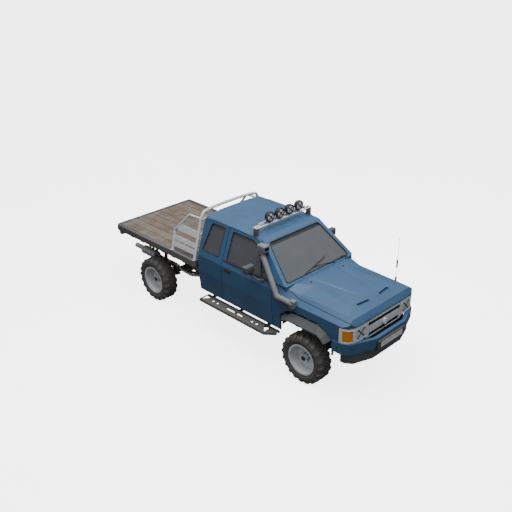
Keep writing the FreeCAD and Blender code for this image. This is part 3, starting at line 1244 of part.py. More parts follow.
def side_step(label, side):
    """A perforated plate with a tube along its edge, on three arms from the rail."""
    z, front, rear = S.step_z, S.step_front, S.step_rear
    inner = S.step_reach - 190
    outline = ((side * inner, rear), (side * (S.step_reach - 10), rear), (side * (S.step_reach - 10), front),
               (side * (inner + 50), front - 150), (side * inner, front - 150))
    plate = prism(label + "_plate", "XY", outline, z - 10, 10)
    holes = []
    for end in (0.16, 0.23, 0.77, 0.84):
        y = rear - (rear - front) * end
        holes.append(rod("%s_hole_%d" % (label, end * 100), (side * (inner + 95), y, z - 40), Z, 20, 80))
    for end, y in ((1, rear - 24), (-1, front + 10)):
        holes.append(prism("%s_corner_%d" % (label, end), "XY", (
            (side * (inner + 30), y), (side * (S.step_reach - 30), y), (side * (inner + 30), y - end * 120)), z - 60, 80))
    middle = rear - (rear - front) * 0.5
    holes.append(box(label + "_slot", (side * (inner + 95) - 16, middle - 170, z - 40), (32, 340, 80)))
    skirt = prism(label + "_skirt", "XY", ((side * (S.step_reach - 12), rear), (side * S.step_reach, rear),
                                           (side * S.step_reach, front - 6), (side * (inner + 60), front - 156),
                                           (side * (inner + 52), front - 148), (side * (S.step_reach - 12), front)), z - 48, 48)
    rail = box(label + "_inner_rail", (side * inner - 12, front - 150, z - 40), (24, rear - front + 150, 40))
    arms = []
    rail_out = S.rail_half + S.rail_wide / 2
    for number, y in enumerate((front + 120, middle, rear - 90)):
        corner = rail_out if side == LEFT else -(S.step_reach - 8)
        arms.append(box("%s_arm_%d" % (label, number), (corner, y - 20, z - 42), (S.step_reach - 8 - rail_out, 40, 32)))
        post = box("%s_post_%d" % (label, number), (side * (rail_out + 6) - 6, y - 30, z - 42), (12, 60, S.rail_low + 70 - z + 42))
        arms.append(post)
    return cut(label, fuse(label + "_solid", plate, skirt, rail, *arms), *holes)


def side_steps():
    node("side_steps", together("side_steps_shape", side_step("step_right", RIGHT), side_step("step_left", LEFT)))


def snorkel():
    """An air intake up the right windscreen pillar: a foot on the fender, a pipe and a head."""
    r = S.snorkel_radius
    path = ((-S.body_half - 2, S.fender_mid + 22, S.fender_crease_z + 12), (-S.body_half - 42, S.cowl_y + 85, S.belt_z - 38),
            (-S.roof_half - 118, S.screen_top_y - 78, S.screen_top_z - 150),
            (-S.roof_half - 100, S.screen_top_y - 40, S.screen_top_z - 60))
    pipe = tube("snorkel_pipe", path, r, 60)
    foot = box("snorkel_foot", (-S.nose_half - 62, S.fender_mid - 8, S.fender_crease_z - 52), (80, 90, 128))
    head = box("snorkel_head", (-S.roof_half - 158, S.screen_top_y - 148, S.screen_top_z - 88), (112, 160, 104))
    soft_head = rounded("snorkel_head_soft", head, 20, lambda edge: True)
    mouth = box("snorkel_mouth", (-S.roof_half - 146, S.screen_top_y - 158, S.screen_top_z - 74), (88, 60, 72))
    soft_foot = rounded("snorkel_foot_soft", foot, 18, lambda edge: True)
    whole = fuse("snorkel_solid", pipe, soft_foot, soft_head)
    node("snorkel", cut("snorkel_shape", whole, mouth, doc.getObject("cab_rounded"), doc.getObject("nose_solid")))


def light_bar():
    """Twin tubes over the windscreen on two feet, with a raised loop behind the lamps."""
    y, z, half, r = S.bar_y, S.bar_z, S.bar_half, S.bar_radius
    parts = [rod("bar_front", (-half, y - 26, z - 30), X, r, half * 2), rod("bar_rear", (-half, y + 26, z - 30), X, r, half * 2)]
    loop = ((-half + 70, y, z - 34), (-half + 70, y, z + 52), (half - 70, y, z + 52), (half - 70, y, z - 34))
    parts.append(tube("bar_loop", loop, r, 38))
    for side in (RIGHT, LEFT):
        tag = "_%d" % side
        parts.append(box("bar_foot" + tag, (side * (half - 10) - 22, y - 42, S.roof_edge_z - 80), (44, 84, z - S.roof_edge_z + 66)))
        parts.append(box("bar_tie" + tag, (side * (half - 70) - 12, y - 26, z - 44), (24, 52, 28)))
    for number, x in enumerate(roof_lamp_places()):
        parts.append(box("lamp_stalk_%d" % number, (x - 9, y - 10, z + 40), (18, 20, S.lamp_z - z - 40)))
    node("light_bar", cut("light_bar_shape", fuse("light_bar_solid", *parts), doc.getObject("cab_rounded")))


def roof_lamp_places():
    step = S.lamp_radius * 3
    return [step * (number - 1.5) for number in range(4)]


def roof_lamps():
    units = []
    for number, x in enumerate(roof_lamp_places()):
        front = rod("roof_lamp_%d" % number, (x, S.lamp_y, S.lamp_z), Y, S.lamp_radius, 26)
        back = taper("roof_lamp_back_%d" % number, (x, S.lamp_y + 26, S.lamp_z), Y, S.lamp_radius - 3, S.lamp_radius * 0.45,
                     S.bar_y - 10 - S.lamp_y - 26)
        units.append(fuse("roof_lamp_unit_%d" % number, front, back))
    node("roof_lamps", together("roof_lamps_shape", *units))


def aerial():
    """A sprung whip on the left fender."""
    x, y = S.aerial_x, S.aerial_y
    base_z = S.fender_crease_z - 30
    parts = [rod("aerial_base", (x, y, base_z), Z, 17, 90), rod("aerial_spring", (x, y, base_z + 90), Z, 12, 60),
             rod("aerial_whip", (x, y, base_z + 150), Z, 3, S.aerial_top - base_z - 156),
             rod("aerial_coil", (x, y, base_z + 300), Z, 11, 120), ball("aerial_tip", (x, y, S.aerial_top - 6), 6)]
    node("aerial", cut("aerial_shape", fuse("aerial_solid", *parts), doc.getObject("nose_solid")))


# ---------------------------------------------------------------- inside the cab

def seat(label, side):
    """A seat as one closed shape: base, cushion, leaning back and head rest."""
    floor = S.floor_z + S.floor_thick
    x, y = side * 350, S.door_rear - 480
    base = box(label + "_base", (x - 190, y + 30, floor), (380, 400, 130))
    cushion = rounded(label + "_cushion", box(label + "_pad", (x - 240, y, floor + 120), (480, 500, 130)), 40, lambda edge: True)
    back = rounded(label + "_back", box(label + "_slab", (-235, -60, 0), (470, 120, 560)), 40, lambda edge: True)
    back.Placement = Placement(Vector(), Rotation(X, -14))
    put(back, (x, y + 440, floor + 190))
    rest = rounded(label + "_rest", box(label + "_rest_slab", (-130, -45, 520), (260, 100, 180)), 30, lambda edge: True)
    rest.Placement = Placement(Vector(), Rotation(X, -14))
    put(rest, (x, y + 440, floor + 190))
    return fuse(label, base, cushion, back, rest)


def seats():
    node("seats", together("seats_shape", seat("seat_right", RIGHT), seat("seat_left", LEFT)))


def dashboard():
    """The fascia across the cab with the steering column and wheel on the right."""
    y = S.firewall_y + S.wall
    body = prism("fascia", "YZ", ((y, 1000), (y + 160, 990), (y + 250, 1100), (y + 240, 1200), (y, 1235)),
                 -(S.body_half - S.wall - 10), (S.body_half - S.wall - 10) * 2)
    tilt = Vector(0, math.cos(math.radians(28)), math.sin(math.radians(28)))
    start = Vector(-350, float(y) + 180, 1060)
    column = rod("steering_column", tuple(start), tilt, 26, 230)
    centre = start + tilt * 235
    rim = ring("steering_rim", tuple(centre), tilt, 178, 14)
    hub = rod("steering_hub", tuple(centre - tilt * 25), tilt, 48, 40)
    across = X.cross(tilt)
    spokes = [rod("steering_spoke_%d" % number, tuple(centre), direction, 11, 178)
              for number, direction in enumerate((X, -X, across))]
    node("dashboard", fuse("dashboard_shape", body, column, rim, hub, *spokes))


# ---------------------------------------------------------------- the whole truck

def build():
    for place, axle_y, side in (
        ("front_right", S.front_axle_y, RIGHT), ("front_left", S.front_axle_y, LEFT),
        ("rear_right", S.rear_axle_y, RIGHT), ("rear_left", S.rear_axle_y, LEFT),
    ):
        wheel(place, axle_y, side)
    knuckle("right", RIGHT)
    knuckle("left", LEFT)
    make_tie_rod()
    front_axle()
    rear_axle()
    leaf_springs()
    dampers()
    ladder_frame()
    frame_brackets()
    engine_block()
    propshafts()
    exhaust()
    fuel_tank()
    cab_parts()
    nose_parts()
    wheel_arches(doc.getObject("nose_solid"))
    front_bumper()
    bumper_valance()
    tray_frame()
    tray_boards()
    headboard()
    tail_lamps()
    side_steps()
    snorkel()
    light_bar()
    roof_lamps()
    aerial()
    seats()
    dashboard()


def check():
    """Stops if any object failed or a node has no valid solid."""
    doc.recompute()
    for obj in doc.Objects:
        if "Invalid" in obj.State or "Error" in obj.State:
            raise RuntimeError("%s failed: %s" % (obj.Label, obj.State))
    for label, obj in nodes.items():
        if obj.Shape.isNull() or not obj.Shape.isValid() or not obj.Shape.Solids:
            raise RuntimeError("%s has no valid solid" % label)


build()
check()
os.makedirs("parts", exist_ok=True)
for label, obj in nodes.items():
    obj.Shape.exportStep("parts/%s.step" % label)
print("%d nodes written" % len(nodes))
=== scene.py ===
"""The flatbed truck's finishes and fine pieces, laid out as an add-on: a panel, operators and settings.

Everything is in metres in the model's own frame: +Z up, the truck faces -Y, its right side is at -X.
"""
import json
import math

import bmesh
import bpy
from mathutils import Matrix, Vector


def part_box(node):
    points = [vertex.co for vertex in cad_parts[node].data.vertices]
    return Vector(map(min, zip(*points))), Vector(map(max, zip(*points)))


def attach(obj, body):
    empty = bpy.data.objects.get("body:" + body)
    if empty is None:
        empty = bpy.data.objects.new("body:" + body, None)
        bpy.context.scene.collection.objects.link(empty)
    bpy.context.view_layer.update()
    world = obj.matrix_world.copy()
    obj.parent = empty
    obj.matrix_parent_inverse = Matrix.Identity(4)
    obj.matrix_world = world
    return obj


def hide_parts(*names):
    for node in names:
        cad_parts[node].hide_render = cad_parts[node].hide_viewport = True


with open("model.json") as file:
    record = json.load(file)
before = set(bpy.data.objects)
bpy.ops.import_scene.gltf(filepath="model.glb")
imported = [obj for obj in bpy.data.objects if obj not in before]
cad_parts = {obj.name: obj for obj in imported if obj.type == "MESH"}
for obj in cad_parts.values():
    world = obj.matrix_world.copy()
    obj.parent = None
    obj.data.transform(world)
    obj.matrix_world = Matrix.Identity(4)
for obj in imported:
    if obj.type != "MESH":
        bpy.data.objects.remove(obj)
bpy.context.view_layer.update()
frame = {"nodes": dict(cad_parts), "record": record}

bl_info = {
    "name": "Flatbed Truck Finishes",
    "version": (1, 0, 0),
    "blender": (4, 5, 0),
    "location": "View3D > Sidebar > Truck",
    "description": "Adds finishes, trim and studio to the flatbed truck",
    "category": "Object",
}

X, Y, Z = Vector((1, 0, 0)), Vector((0, 1, 0)), Vector((0, 0, 1))
SIDES = (("right", -1), ("left", 1))
WHEELS = ("front_right", "front_left", "rear_right", "rear_left")
MIRROR_BACK = 0.145  # the mirrors stand this far behind the construction's own
FRONT_AXLE_Y, REAR_AXLE_Y, AXLE_HEIGHT = -1.746, 1.637, 0.385
PLATE_Y = -2.6515  # front face of the plate holder
RAIL_X = 0.8375  # outer face of the tray's side rail
BAR_TUBE = 0.0125  # radius of the roof bar's tubes
BAR_HEIGHT = 1.962
BAR_TUBES_Y = (-0.594, -0.536)
BAR_HALF = 0.600
LAMP_RADIUS = 0.080
LAMP_STEP = 0.210
LAMP_FRONT_Y = -0.605
LAMP_HEIGHT = 2.0695


def colour(hexed):
    """A hex sRGB colour as linear red, green and blue."""
    parts = [int(hexed[index:index + 2], 16) / 255 for index in (0, 2, 4)]
    return tuple(part / 12.92 if part <= 0.04045 else ((part + 0.055) / 1.055) ** 2.4 for part in parts)


def shaded(rgb, factor):
    return tuple(min(1.0, part * factor) for part in rgb)


# ---------------------------------------------------------------- settings

def tint(title, text, hexed):
    return bpy.props.FloatVectorProperty(name=title, description=text, subtype="COLOR", size=3,
                                         min=0.0, max=1.0, default=colour(hexed))


def length(title, text, default):
    return bpy.props.FloatProperty(name=title, description=text, unit="LENGTH", default=default)


class TruckColours(bpy.types.PropertyGroup):
    body: tint("Body paint", "Cab, bonnet, fenders and bumper", "2F5478")
    light: tint("Light paint", "Grille surround, headboard and roof bar", "C8CDD0")
    wheel: tint("Wheel paint", "Rims", "CDD3D7")
    tray: tint("Tray paint", "Tray edge, bearers and side steps", "34373A")
    chassis: tint("Chassis", "Frame, axles and springs", "5A4C3E")
    damper: tint("Shock absorbers", "Shock absorber bodies", "7F1A1A")
    rubber: tint("Rubber", "Tyres and seals", "4E4D4C")
    boards: tint("Boards", "Weathered boards of the tray", "6E5F50")
    plastic: tint("Dark plastic", "Flares, valance and mirrors", "4A4D4F")
    snorkel: tint("Snorkel", "Air intake", "6B6E72")
    glass: tint("Glass", "Tinted panes", "50545A")
    amber: tint("Amber", "Corner lamps", "E08A22")
    dust: tint("Dust", "Dust that settles low down", "8C8378")
    cloth: tint("Seat cloth", "Seat covers", "4B4D55")


class TruckSizes(bpy.types.PropertyGroup):
    lug_height: length("Lug height", "Height of the tyre lugs above the tread's floor", 0.018)
    lug_count: bpy.props.IntProperty(name="Lugs", description="Lugs round one edge of a tyre", default=20,
                                     min=8)
    seal: length("Seal", "Radius of the window seals", 0.0065)
    tape: length("Tape", "Width of the tape crosses on the lamps", 0.016)
    bolt: length("Bolt", "Radius of a deck bolt's head", 0.0075)
    camera_azimuth: bpy.props.FloatProperty(name="Azimuth",
                                            description="Where the camera stands round the truck",
                                            subtype="ANGLE", default=math.radians(-44.983))
    camera_elevation: bpy.props.FloatProperty(name="Elevation", description="How high the camera looks from",
                                              subtype="ANGLE", default=math.radians(26.251))
    camera_place: bpy.props.FloatVectorProperty(name="Place", description="Where the camera stands",
                                                unit="LENGTH",
                                                size=3, default=(-7.2229, -7.2147, 6.1475))
    lens: bpy.props.FloatProperty(name="Lens", description="Focal length in millimetres", default=50.0)


def colours():
    return bpy.context.scene.truck_colours


def sizes():
    return bpy.context.scene.truck_sizes


# ---------------------------------------------------------------- shader maths

class Value:
    """A socket of a material, on which sums can be written as Python expressions."""

    def __init__(self, finish, socket):
        self.finish = finish
        self.socket = socket

    def maths(self, operation, first, second):
        return self.finish.node("ShaderNodeMath", {"operation": operation}, {0: first, 1: second})

    def __add__(self, other):
        return self.maths("ADD", self, other)

    def __radd__(self, other):
        return self.maths("ADD", other, self)

    def __sub__(self, other):
        return self.maths("SUBTRACT", self, other)

    def __rsub__(self, other):
        return self.maths("SUBTRACT", other, self)

    def __mul__(self, other):
        return self.maths("MULTIPLY", self, other)

    def __rmul__(self, other):
        return self.maths("MULTIPLY", other, self)

    def __truediv__(self, other):
        return self.maths("DIVIDE", self, other)

    def __gt__(self, other):
        return self.maths("GREATER_THAN", self, other)

    def size(self):
        return self.maths("ABSOLUTE", self, 0.0)

    def wave(self):
        return self.maths("SINE", self, 0.0)

    def floor(self):
        return self.maths("FLOOR", self, 0.0)

    def fraction(self):
        return self.maths("FRACT", self, 0.0)

    def ramp(self, low, high):
        """0 at low and 1 at high, held outside them."""
        return self.finish.node("ShaderNodeMapRange", {"clamp": True, "interpolation_type": "SMOOTHSTEP"},
                                {"Value": self, "From Min": low, "From Max": high})


class Finish:
    """A node material round one Principled shader."""

    def __init__(self, name, **fixed):
        self.material = bpy.data.materials.new(name)
        self.material.use_nodes = True
        self.tree = self.material.node_tree
        self.tree.nodes.clear()
        self.shader = self.tree.nodes.new("ShaderNodeBsdfPrincipled")
        output = self.tree.nodes.new("ShaderNodeOutputMaterial")
        self.tree.links.new(self.shader.outputs["BSDF"], output.inputs["Surface"])
        self.place = self.node("ShaderNodeTexCoord", {}, {}, "Object")
        parts = self.tree.nodes.new("ShaderNodeSeparateXYZ")
        self.tree.links.new(self.place.socket, parts.inputs[0])
        self.x, self.y, self.z = [Value(self, socket) for socket in parts.outputs]
        self.set(**fixed)

    def node(self, kind, settings, inputs, output=0):
        """A node of a kind: its settings come first, then the values or links of its sockets."""
        made = self.tree.nodes.new(kind)
        for name, value in settings.items():
            if name == "stops":
                ramp = made.color_ramp
                for index, (place, rgb) in enumerate(value):
                    stop = ramp.elements[index] if index < 2 else ramp.elements.new(place)
                    stop.position = place
                    stop.color = (*rgb, 1.0)
            else:
                setattr(made, name, value)
        for key, value in inputs.items():
            socket = made.inputs[key]
            self.feed(socket, value)
        return Value(self, made.outputs[output])

    def feed(self, socket, value):
        if isinstance(value, Value):
            self.tree.links.new(value.socket, socket)
        elif hasattr(value, "__len__") and len(value) == 3 and socket.type == "RGBA":
            socket.default_value = (*value, 1.0)
        else:
            socket.default_value = value

    def set(self, **values):
        for name, value in values.items():
            self.feed(self.shader.inputs[name.replace("_", " ")], value)
        return self

    def stretched(self, scale):
        return self.node("ShaderNodeVectorMath", {"operation": "MULTIPLY"}, {0: self.place, 1: scale}, 0)

    def noise(self, scale, detail=4.0, rough=0.55, stretch=None):
        place = self.stretched(stretch) if stretch else self.place
        return self.node("ShaderNodeTexNoise", {}, {"Vector": place, "Scale": scale, "Detail": detail,
                                                    "Roughness": rough}, 0)

    def cells(self, scale, output="Distance"):
        return self.node("ShaderNodeTexVoronoi", {}, {"Vector": self.place, "Scale": scale}, output)

    def mix(self, mask, first, second, how="MIX"):
        return self.node("ShaderNodeMix", {"data_type": "RGBA", "blend_type": how},
                         {0: mask, 6: first, 7: second}, 2)

    def bump(self, height, strength, distance):
        normal = self.node("ShaderNodeBump", {}, {"Height": height, "Strength": strength,
                                                  "Distance": distance})
        return self.set(Normal=normal)

    def worn_edge(self, radius=0.01):
        """1 on raised edges, from the bend of the surface."""
        sharp = self.node("ShaderNodeNewGeometry", {}, {}, "Pointiness")
        return sharp.ramp(0.52, 0.60)


finishes = {}


def remember(key, made):
    finishes[key] = made.material
    return made


def paint_finish(key, title, rgb, rough=0.42, coat=0.25, dust=0.35, dust_top=0.95, peel=0.06, metallic=0.0):
    """Sprayed paint with faint mottling, a dusty lower half and worn edges."""
    made = Finish(title)
    mottle = made.noise(3.0, 3.0)
    fine = made.noise(60.0, 2.0)
    low = 1.0 - made.z.ramp(0.45, dust_top)
    film = (low * dust + 0.05) * made.noise(7.0, 6.0, 0.65).ramp(0.35, 0.75)
    base = made.mix(mottle.ramp(0.3, 0.7), shaded(rgb, 0.93), shaded(rgb, 1.06))
    base = made.mix(made.worn_edge() * 0.18, base, shaded(rgb, 1.6))
    base = made.mix(film, base, tuple(colours().dust))
    made.set(Base_Color=base, Roughness=fine * 0.06 + film * 0.35 + rough, Metallic=metallic,
             Coat_Weight=coat,
             Coat_Roughness=0.18)
    made.bump(made.noise(220.0, 1.0), peel, 0.0006)
    return remember(key, made)


def steel_finish(key, title, rgb, rough=0.6, scratch=0.25, dust=0.5):
    """Painted or bare steel with scratches, chips and dust."""
    made = Finish(title)
    patch = made.noise(9.0, 7.0, 0.7)
    lines = made.noise(30.0, 5.0, 0.6, (1.0, 0.12, 1.0)).ramp(0.62, 0.74)
    base = made.mix(patch.ramp(0.35, 0.7), shaded(rgb, 0.8), shaded(rgb, 1.2))
    base = made.mix(lines * scratch, base, shaded(rgb, 2.2))
    base = made.mix(made.worn_edge() * 0.35, base, (0.30, 0.29, 0.28))
    base = made.mix(made.noise(4.0, 5.0).ramp(0.42, 0.75) * dust, base, shaded(tuple(colours().dust), 0.75))
    made.set(Base_Color=base, Roughness=patch * 0.25 + (rough - 0.12), Metallic=lines * 0.25)
    made.bump(patch + fine_grain(made), 0.18, 0.0012)
    return remember(key, made)


def fine_grain(made):
    return made.noise(260.0, 2.0)


def plastic_finish(key, title, rgb, rough=0.62, grain=420.0):
    """Moulded plastic with a fine grain and a dusty bloom."""
    made = Finish(title)
    bloom = made.noise(6.0, 5.0, 0.6).ramp(0.35, 0.75)
    base = made.mix(bloom * 0.4, rgb, shaded(rgb, 1.35))
    base = made.mix(made.worn_edge() * 0.25, base, shaded(rgb, 1.8))
    made.set(Base_Color=base, Roughness=bloom * 0.12 + rough)
    made.bump(made.cells(grain), 0.25, 0.0005)
    return remember(key, made)


def tyre_finish():
    made = Finish("dusty tyre rubber")
    rgb = tuple(colours().rubber)
    caked = made.noise(14.0, 8.0, 0.7).ramp(0.4, 0.7)
    base = made.mix(caked * 0.55, rgb, shaded(tuple(colours().dust), 0.42))
    base = made.mix(made.worn_edge() * 0.3, base, shaded(rgb, 2.0))
    made.set(Base_Color=base, Roughness=caked * 0.1 + 0.78)
    made.bump(made.noise(120.0, 4.0) + made.cells(90.0) * 0.6, 0.35, 0.0012)
    return remember("tyre", made)


def board_finish():
    """Weathered boards: each has its own tone, grain along it and grey ends; each board's edges are darkened
    to near black as painted shade at the gaps between boards.
    """
    made = Finish("weathered boards")
    low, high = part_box("tray_boards")
    wide = (high[0] - low[0]) / 9
    board = ((made.x - low[0]) / wide).floor()
    tone = (board * 12.9898).wave() * 43758.5
    tone = tone.fraction()
    shift = made.node("ShaderNodeCombineXYZ", {}, {0: made.x * 34.0, 1: made.y * 1.6 + tone * 17.0,
                                                   2: made.z * 34.0})
    grain = made.node("ShaderNodeTexNoise", {}, {"Vector": shift, "Scale": 2.0, "Detail": 8.0,
                                                 "Roughness": 0.62,
                                                 "Distortion": 0.6})
    rgb = tuple(colours().boards)
    base = made.mix(grain.ramp(0.3, 0.72), shaded(rgb, 0.62), shaded(rgb, 1.22))
    base = made.mix(tone * 0.45, base, made.mix(grain, shaded(rgb, 1.1), (0.30, 0.27, 0.24)))
    grey = made.noise(5.0, 6.0, 0.65).ramp(0.45, 0.72)
    base = made.mix(grey * 0.5, base, (0.27, 0.26, 0.25))
    ends = made.y.ramp(high[1] - 0.12, high[1]) + (1.0 - made.y.ramp(low[1], low[1] + 0.16))
    base = made.mix(ends * 0.45, base, (0.22, 0.23, 0.24))
    across = ((made.x - low[0]) / wide).fraction()
    # painted shade: a near-black band along both edges of each board, where the gaps between boards lie
    gap_shade = 1.0 - across.ramp(0.0, 0.05) * (1.0 - across.ramp(0.93, 0.985))
    base = made.mix(gap_shade * 0.75, base, (0.05, 0.043, 0.038))
    made.set(Base_Color=base, Roughness=grain * 0.15 + 0.72)
    made.bump(grain * 1.4 + made.noise(140.0, 3.0, 0.6, (1.0, 0.15, 1.0)), 0.5, 0.0022)
    return remember("boards", made)


def glass_finish():
    made = Finish("tinted glass", IOR=1.45, Coat_Weight=0.4, Coat_Roughness=0.05)
    rgb = tuple(colours().glass)
    film = made.noise(4.0, 6.0, 0.6).ramp(0.4, 0.8)
    low = 1.0 - made.z.ramp(1.34, 1.50)
    base = made.mix(film * 0.14 + low * 0.06, rgb, shaded(tuple(colours().dust), 0.55))
    made.set(Base_Color=base, Roughness=film * 0.10 + 0.10, Alpha=film * 0.04 + 0.93)
    return remember("glass", made)


def lens_finish(key, title, rgb, ribs, rough=0.12):
    """A lamp lens: glossy, with moulded ribs under a thin film of dust."""
    made = Finish(title, Coat_Weight=0.6, Coat_Roughness=0.06)
    bands = (made.x * ribs).wave() * 0.5 + (made.z * (ribs * 0.7)).wave() * 0.5
    dirt = made.noise(18.0, 5.0).ramp(0.45, 0.8)
    base = made.mix(bands.ramp(-0.8, 0.9) * 0.4, rgb, shaded(rgb, 0.72))
    base = made.mix(dirt * 0.25, base, shaded(tuple(colours().dust), 0.8))
    made.set(Base_Color=base, Roughness=dirt * 0.2 + rough)
    made.bump(bands, 0.35, 0.0012)
    return remember(key, made)


def lamp_body_finish():
    """The lamp blocks: pale lenses in front and amber ones round the corners."""
    made = Finish("lamp lenses", Coat_Weight=0.6, Coat_Roughness=0.08)
    corner = made.x.size() > 0.651
    ribs = (made.x * 520.0).wave() * 0.5
    dirt = made.noise(18.0, 5.0).ramp(0.45, 0.8)
    pale = made.mix(ribs.ramp(-0.5, 0.5) * 0.5, colour("C6C9CB"), colour("A8ACAF"))
    amber = made.mix(ribs.ramp(-0.5, 0.5) * 0.45, tuple(colours().amber),
                     shaded(tuple(colours().amber), 0.75))
    base = made.mix(corner, pale, amber)
    base = made.mix(dirt * 0.2, base, shaded(tuple(colours().dust), 0.9))
    made.set(Base_Color=base, Roughness=dirt * 0.2 + 0.16)
    made.bump(ribs, 0.3, 0.001)
    return remember("lamps", made)


def exhaust_finish():
    made = Finish("dull exhaust steel", Metallic=0.75)
    heat = made.noise(8.0, 6.0, 0.7)
    brushed = made.noise(40.0, 4.0, 0.6, (1.0, 0.08, 1.0))
    base = made.mix(heat.ramp(0.4, 0.7), colour("C2C9CD"), colour("A8A6A0"))
    base = made.mix(brushed.ramp(0.55, 0.8) * 0.4, base, colour("C3C8CA"))
    made.set(Base_Color=base, Roughness=heat * 0.25 + 0.36)
    made.bump(brushed, 0.12, 0.0008)
    return remember("exhaust", made)


def cloth_finish():
    """Woven seat cloth: fine crossed threads with soft mottling."""
    made = Finish("seat cloth", Sheen_Weight=0.3, Sheen_Roughness=0.5)
    rgb = tuple(colours().cloth)
    threads = ((made.x * 1900.0).wave() * (made.y * 1900.0 + made.z * 1900.0).wave()) * 0.5
    mottle = made.noise(22.0, 5.0, 0.6)
    base = made.mix(threads.ramp(-0.4, 0.4), shaded(rgb, 0.75), shaded(rgb, 1.2))
    base = made.mix(mottle.ramp(0.45, 0.75) * 0.35, base, shaded(rgb, 1.5))
    made.set(Base_Color=base, Roughness=mottle * 0.1 + 0.85)
    made.bump(threads, 0.3, 0.0006)
    return remember("cloth", made)


def mirror_finish():
    made = Finish("mirror glass", Metallic=1.0)
    film = made.noise(30.0, 5.0).ramp(0.5, 0.8)
    made.set(Base_Color=made.mix(film * 0.3, (0.75, 0.78, 0.80), (0.5, 0.5, 0.48)),
             Roughness=film * 0.15 + 0.05)
    return remember("mirror", made)


def plate_finish():
    made = Finish("blank plate enamel", Coat_Weight=0.3)
    dirt = made.noise(16.0, 6.0, 0.65).ramp(0.4, 0.8)
    made.set(Base_Color=made.mix(dirt * 0.35, colour("CDD0D0"), colour("9C9C96")), Roughness=dirt * 0.2 + 0.4)
    made.bump(dirt, 0.08, 0.0006)
    return remember("plate", made)


def tail_finish():
    """Tail lamps in three parts: red outside, amber in the middle, clear inside, in a pale housing."""
    made = Finish("tail lamp lenses", Coat_Weight=0.5, Coat_Roughness=0.08)
    reach = made.x.size()
    behind = made.y > 2.648
    lens = made.mix(reach > 0.695, colour("C9CBCB"), made.mix(reach > 0.735, colour("C9782A"),
                                                              colour("8E1A17")))
    base = made.mix(behind, colour("AEB4B8"), lens)
    dirt = made.noise(20.0, 5.0).ramp(0.42, 0.8)
    made.set(Base_Color=made.mix(dirt * 0.3, base, tuple(colours().dust)), Roughness=dirt * 0.2 + 0.25)
    made.bump((made.x * 700.0).wave(), 0.15, 0.0008)
    return remember("tail", made)


def make_finishes():
    c = colours()
    paint_finish("body", "satin blue paint", tuple(c.body), dust=0.10, dust_top=0.9)
    paint_finish("light", "light grey paint", tuple(c.light), rough=0.45, coat=0.1, dust=0.2, peel=0.1)
    paint_finish("rim", "light wheel paint", tuple(c.wheel), rough=0.45, coat=0.1, dust=0.12, dust_top=0.8)
    paint_finish("damper", "red damper paint", tuple(c.damper), rough=0.4, dust=0.3)
    steel_finish("tray", "dark tray steel", tuple(c.tray), scratch=0.12, dust=0.22)
    steel_finish("chassis", "dusty chassis paint", tuple(c.chassis), rough=0.75)
    steel_finish("engine", "cast engine metal", colour("55565A"), rough=0.7)
    steel_finish("bolt", "dull bolt steel", colour("6A6C6E"), rough=0.5, dust=0.3)
    plastic_finish("plastic", "dark grained plastic", tuple(c.plastic))
    plastic_finish("black", "black plastic", colour("242526"), rough=0.55)
    plastic_finish("snorkel", "grey snorkel plastic", tuple(c.snorkel), rough=0.55)
    plastic_finish("trim", "dark cab trim", colour("3B3D40"), rough=0.7)
    plastic_finish("seal", "black seal rubber", colour("1E1F20"), rough=0.65)
    plastic_finish("tape", "black cloth tape", colour("1C1C1D"), rough=0.85, grain=900.0)
    plastic_finish("hub", "dark hub cap", colour("2C2D2F"), rough=0.5)
    tyre_finish()
    board_finish()
    glass_finish()
    lamp_body_finish()
    lens_finish("lens", "roof lamp lens", colour("DCDFE0"), 420.0)
    exhaust_finish()
    cloth_finish()
    mirror_finish()
    plate_finish()
    tail_finish()


# ---------------------------------------------------------------- mesh building

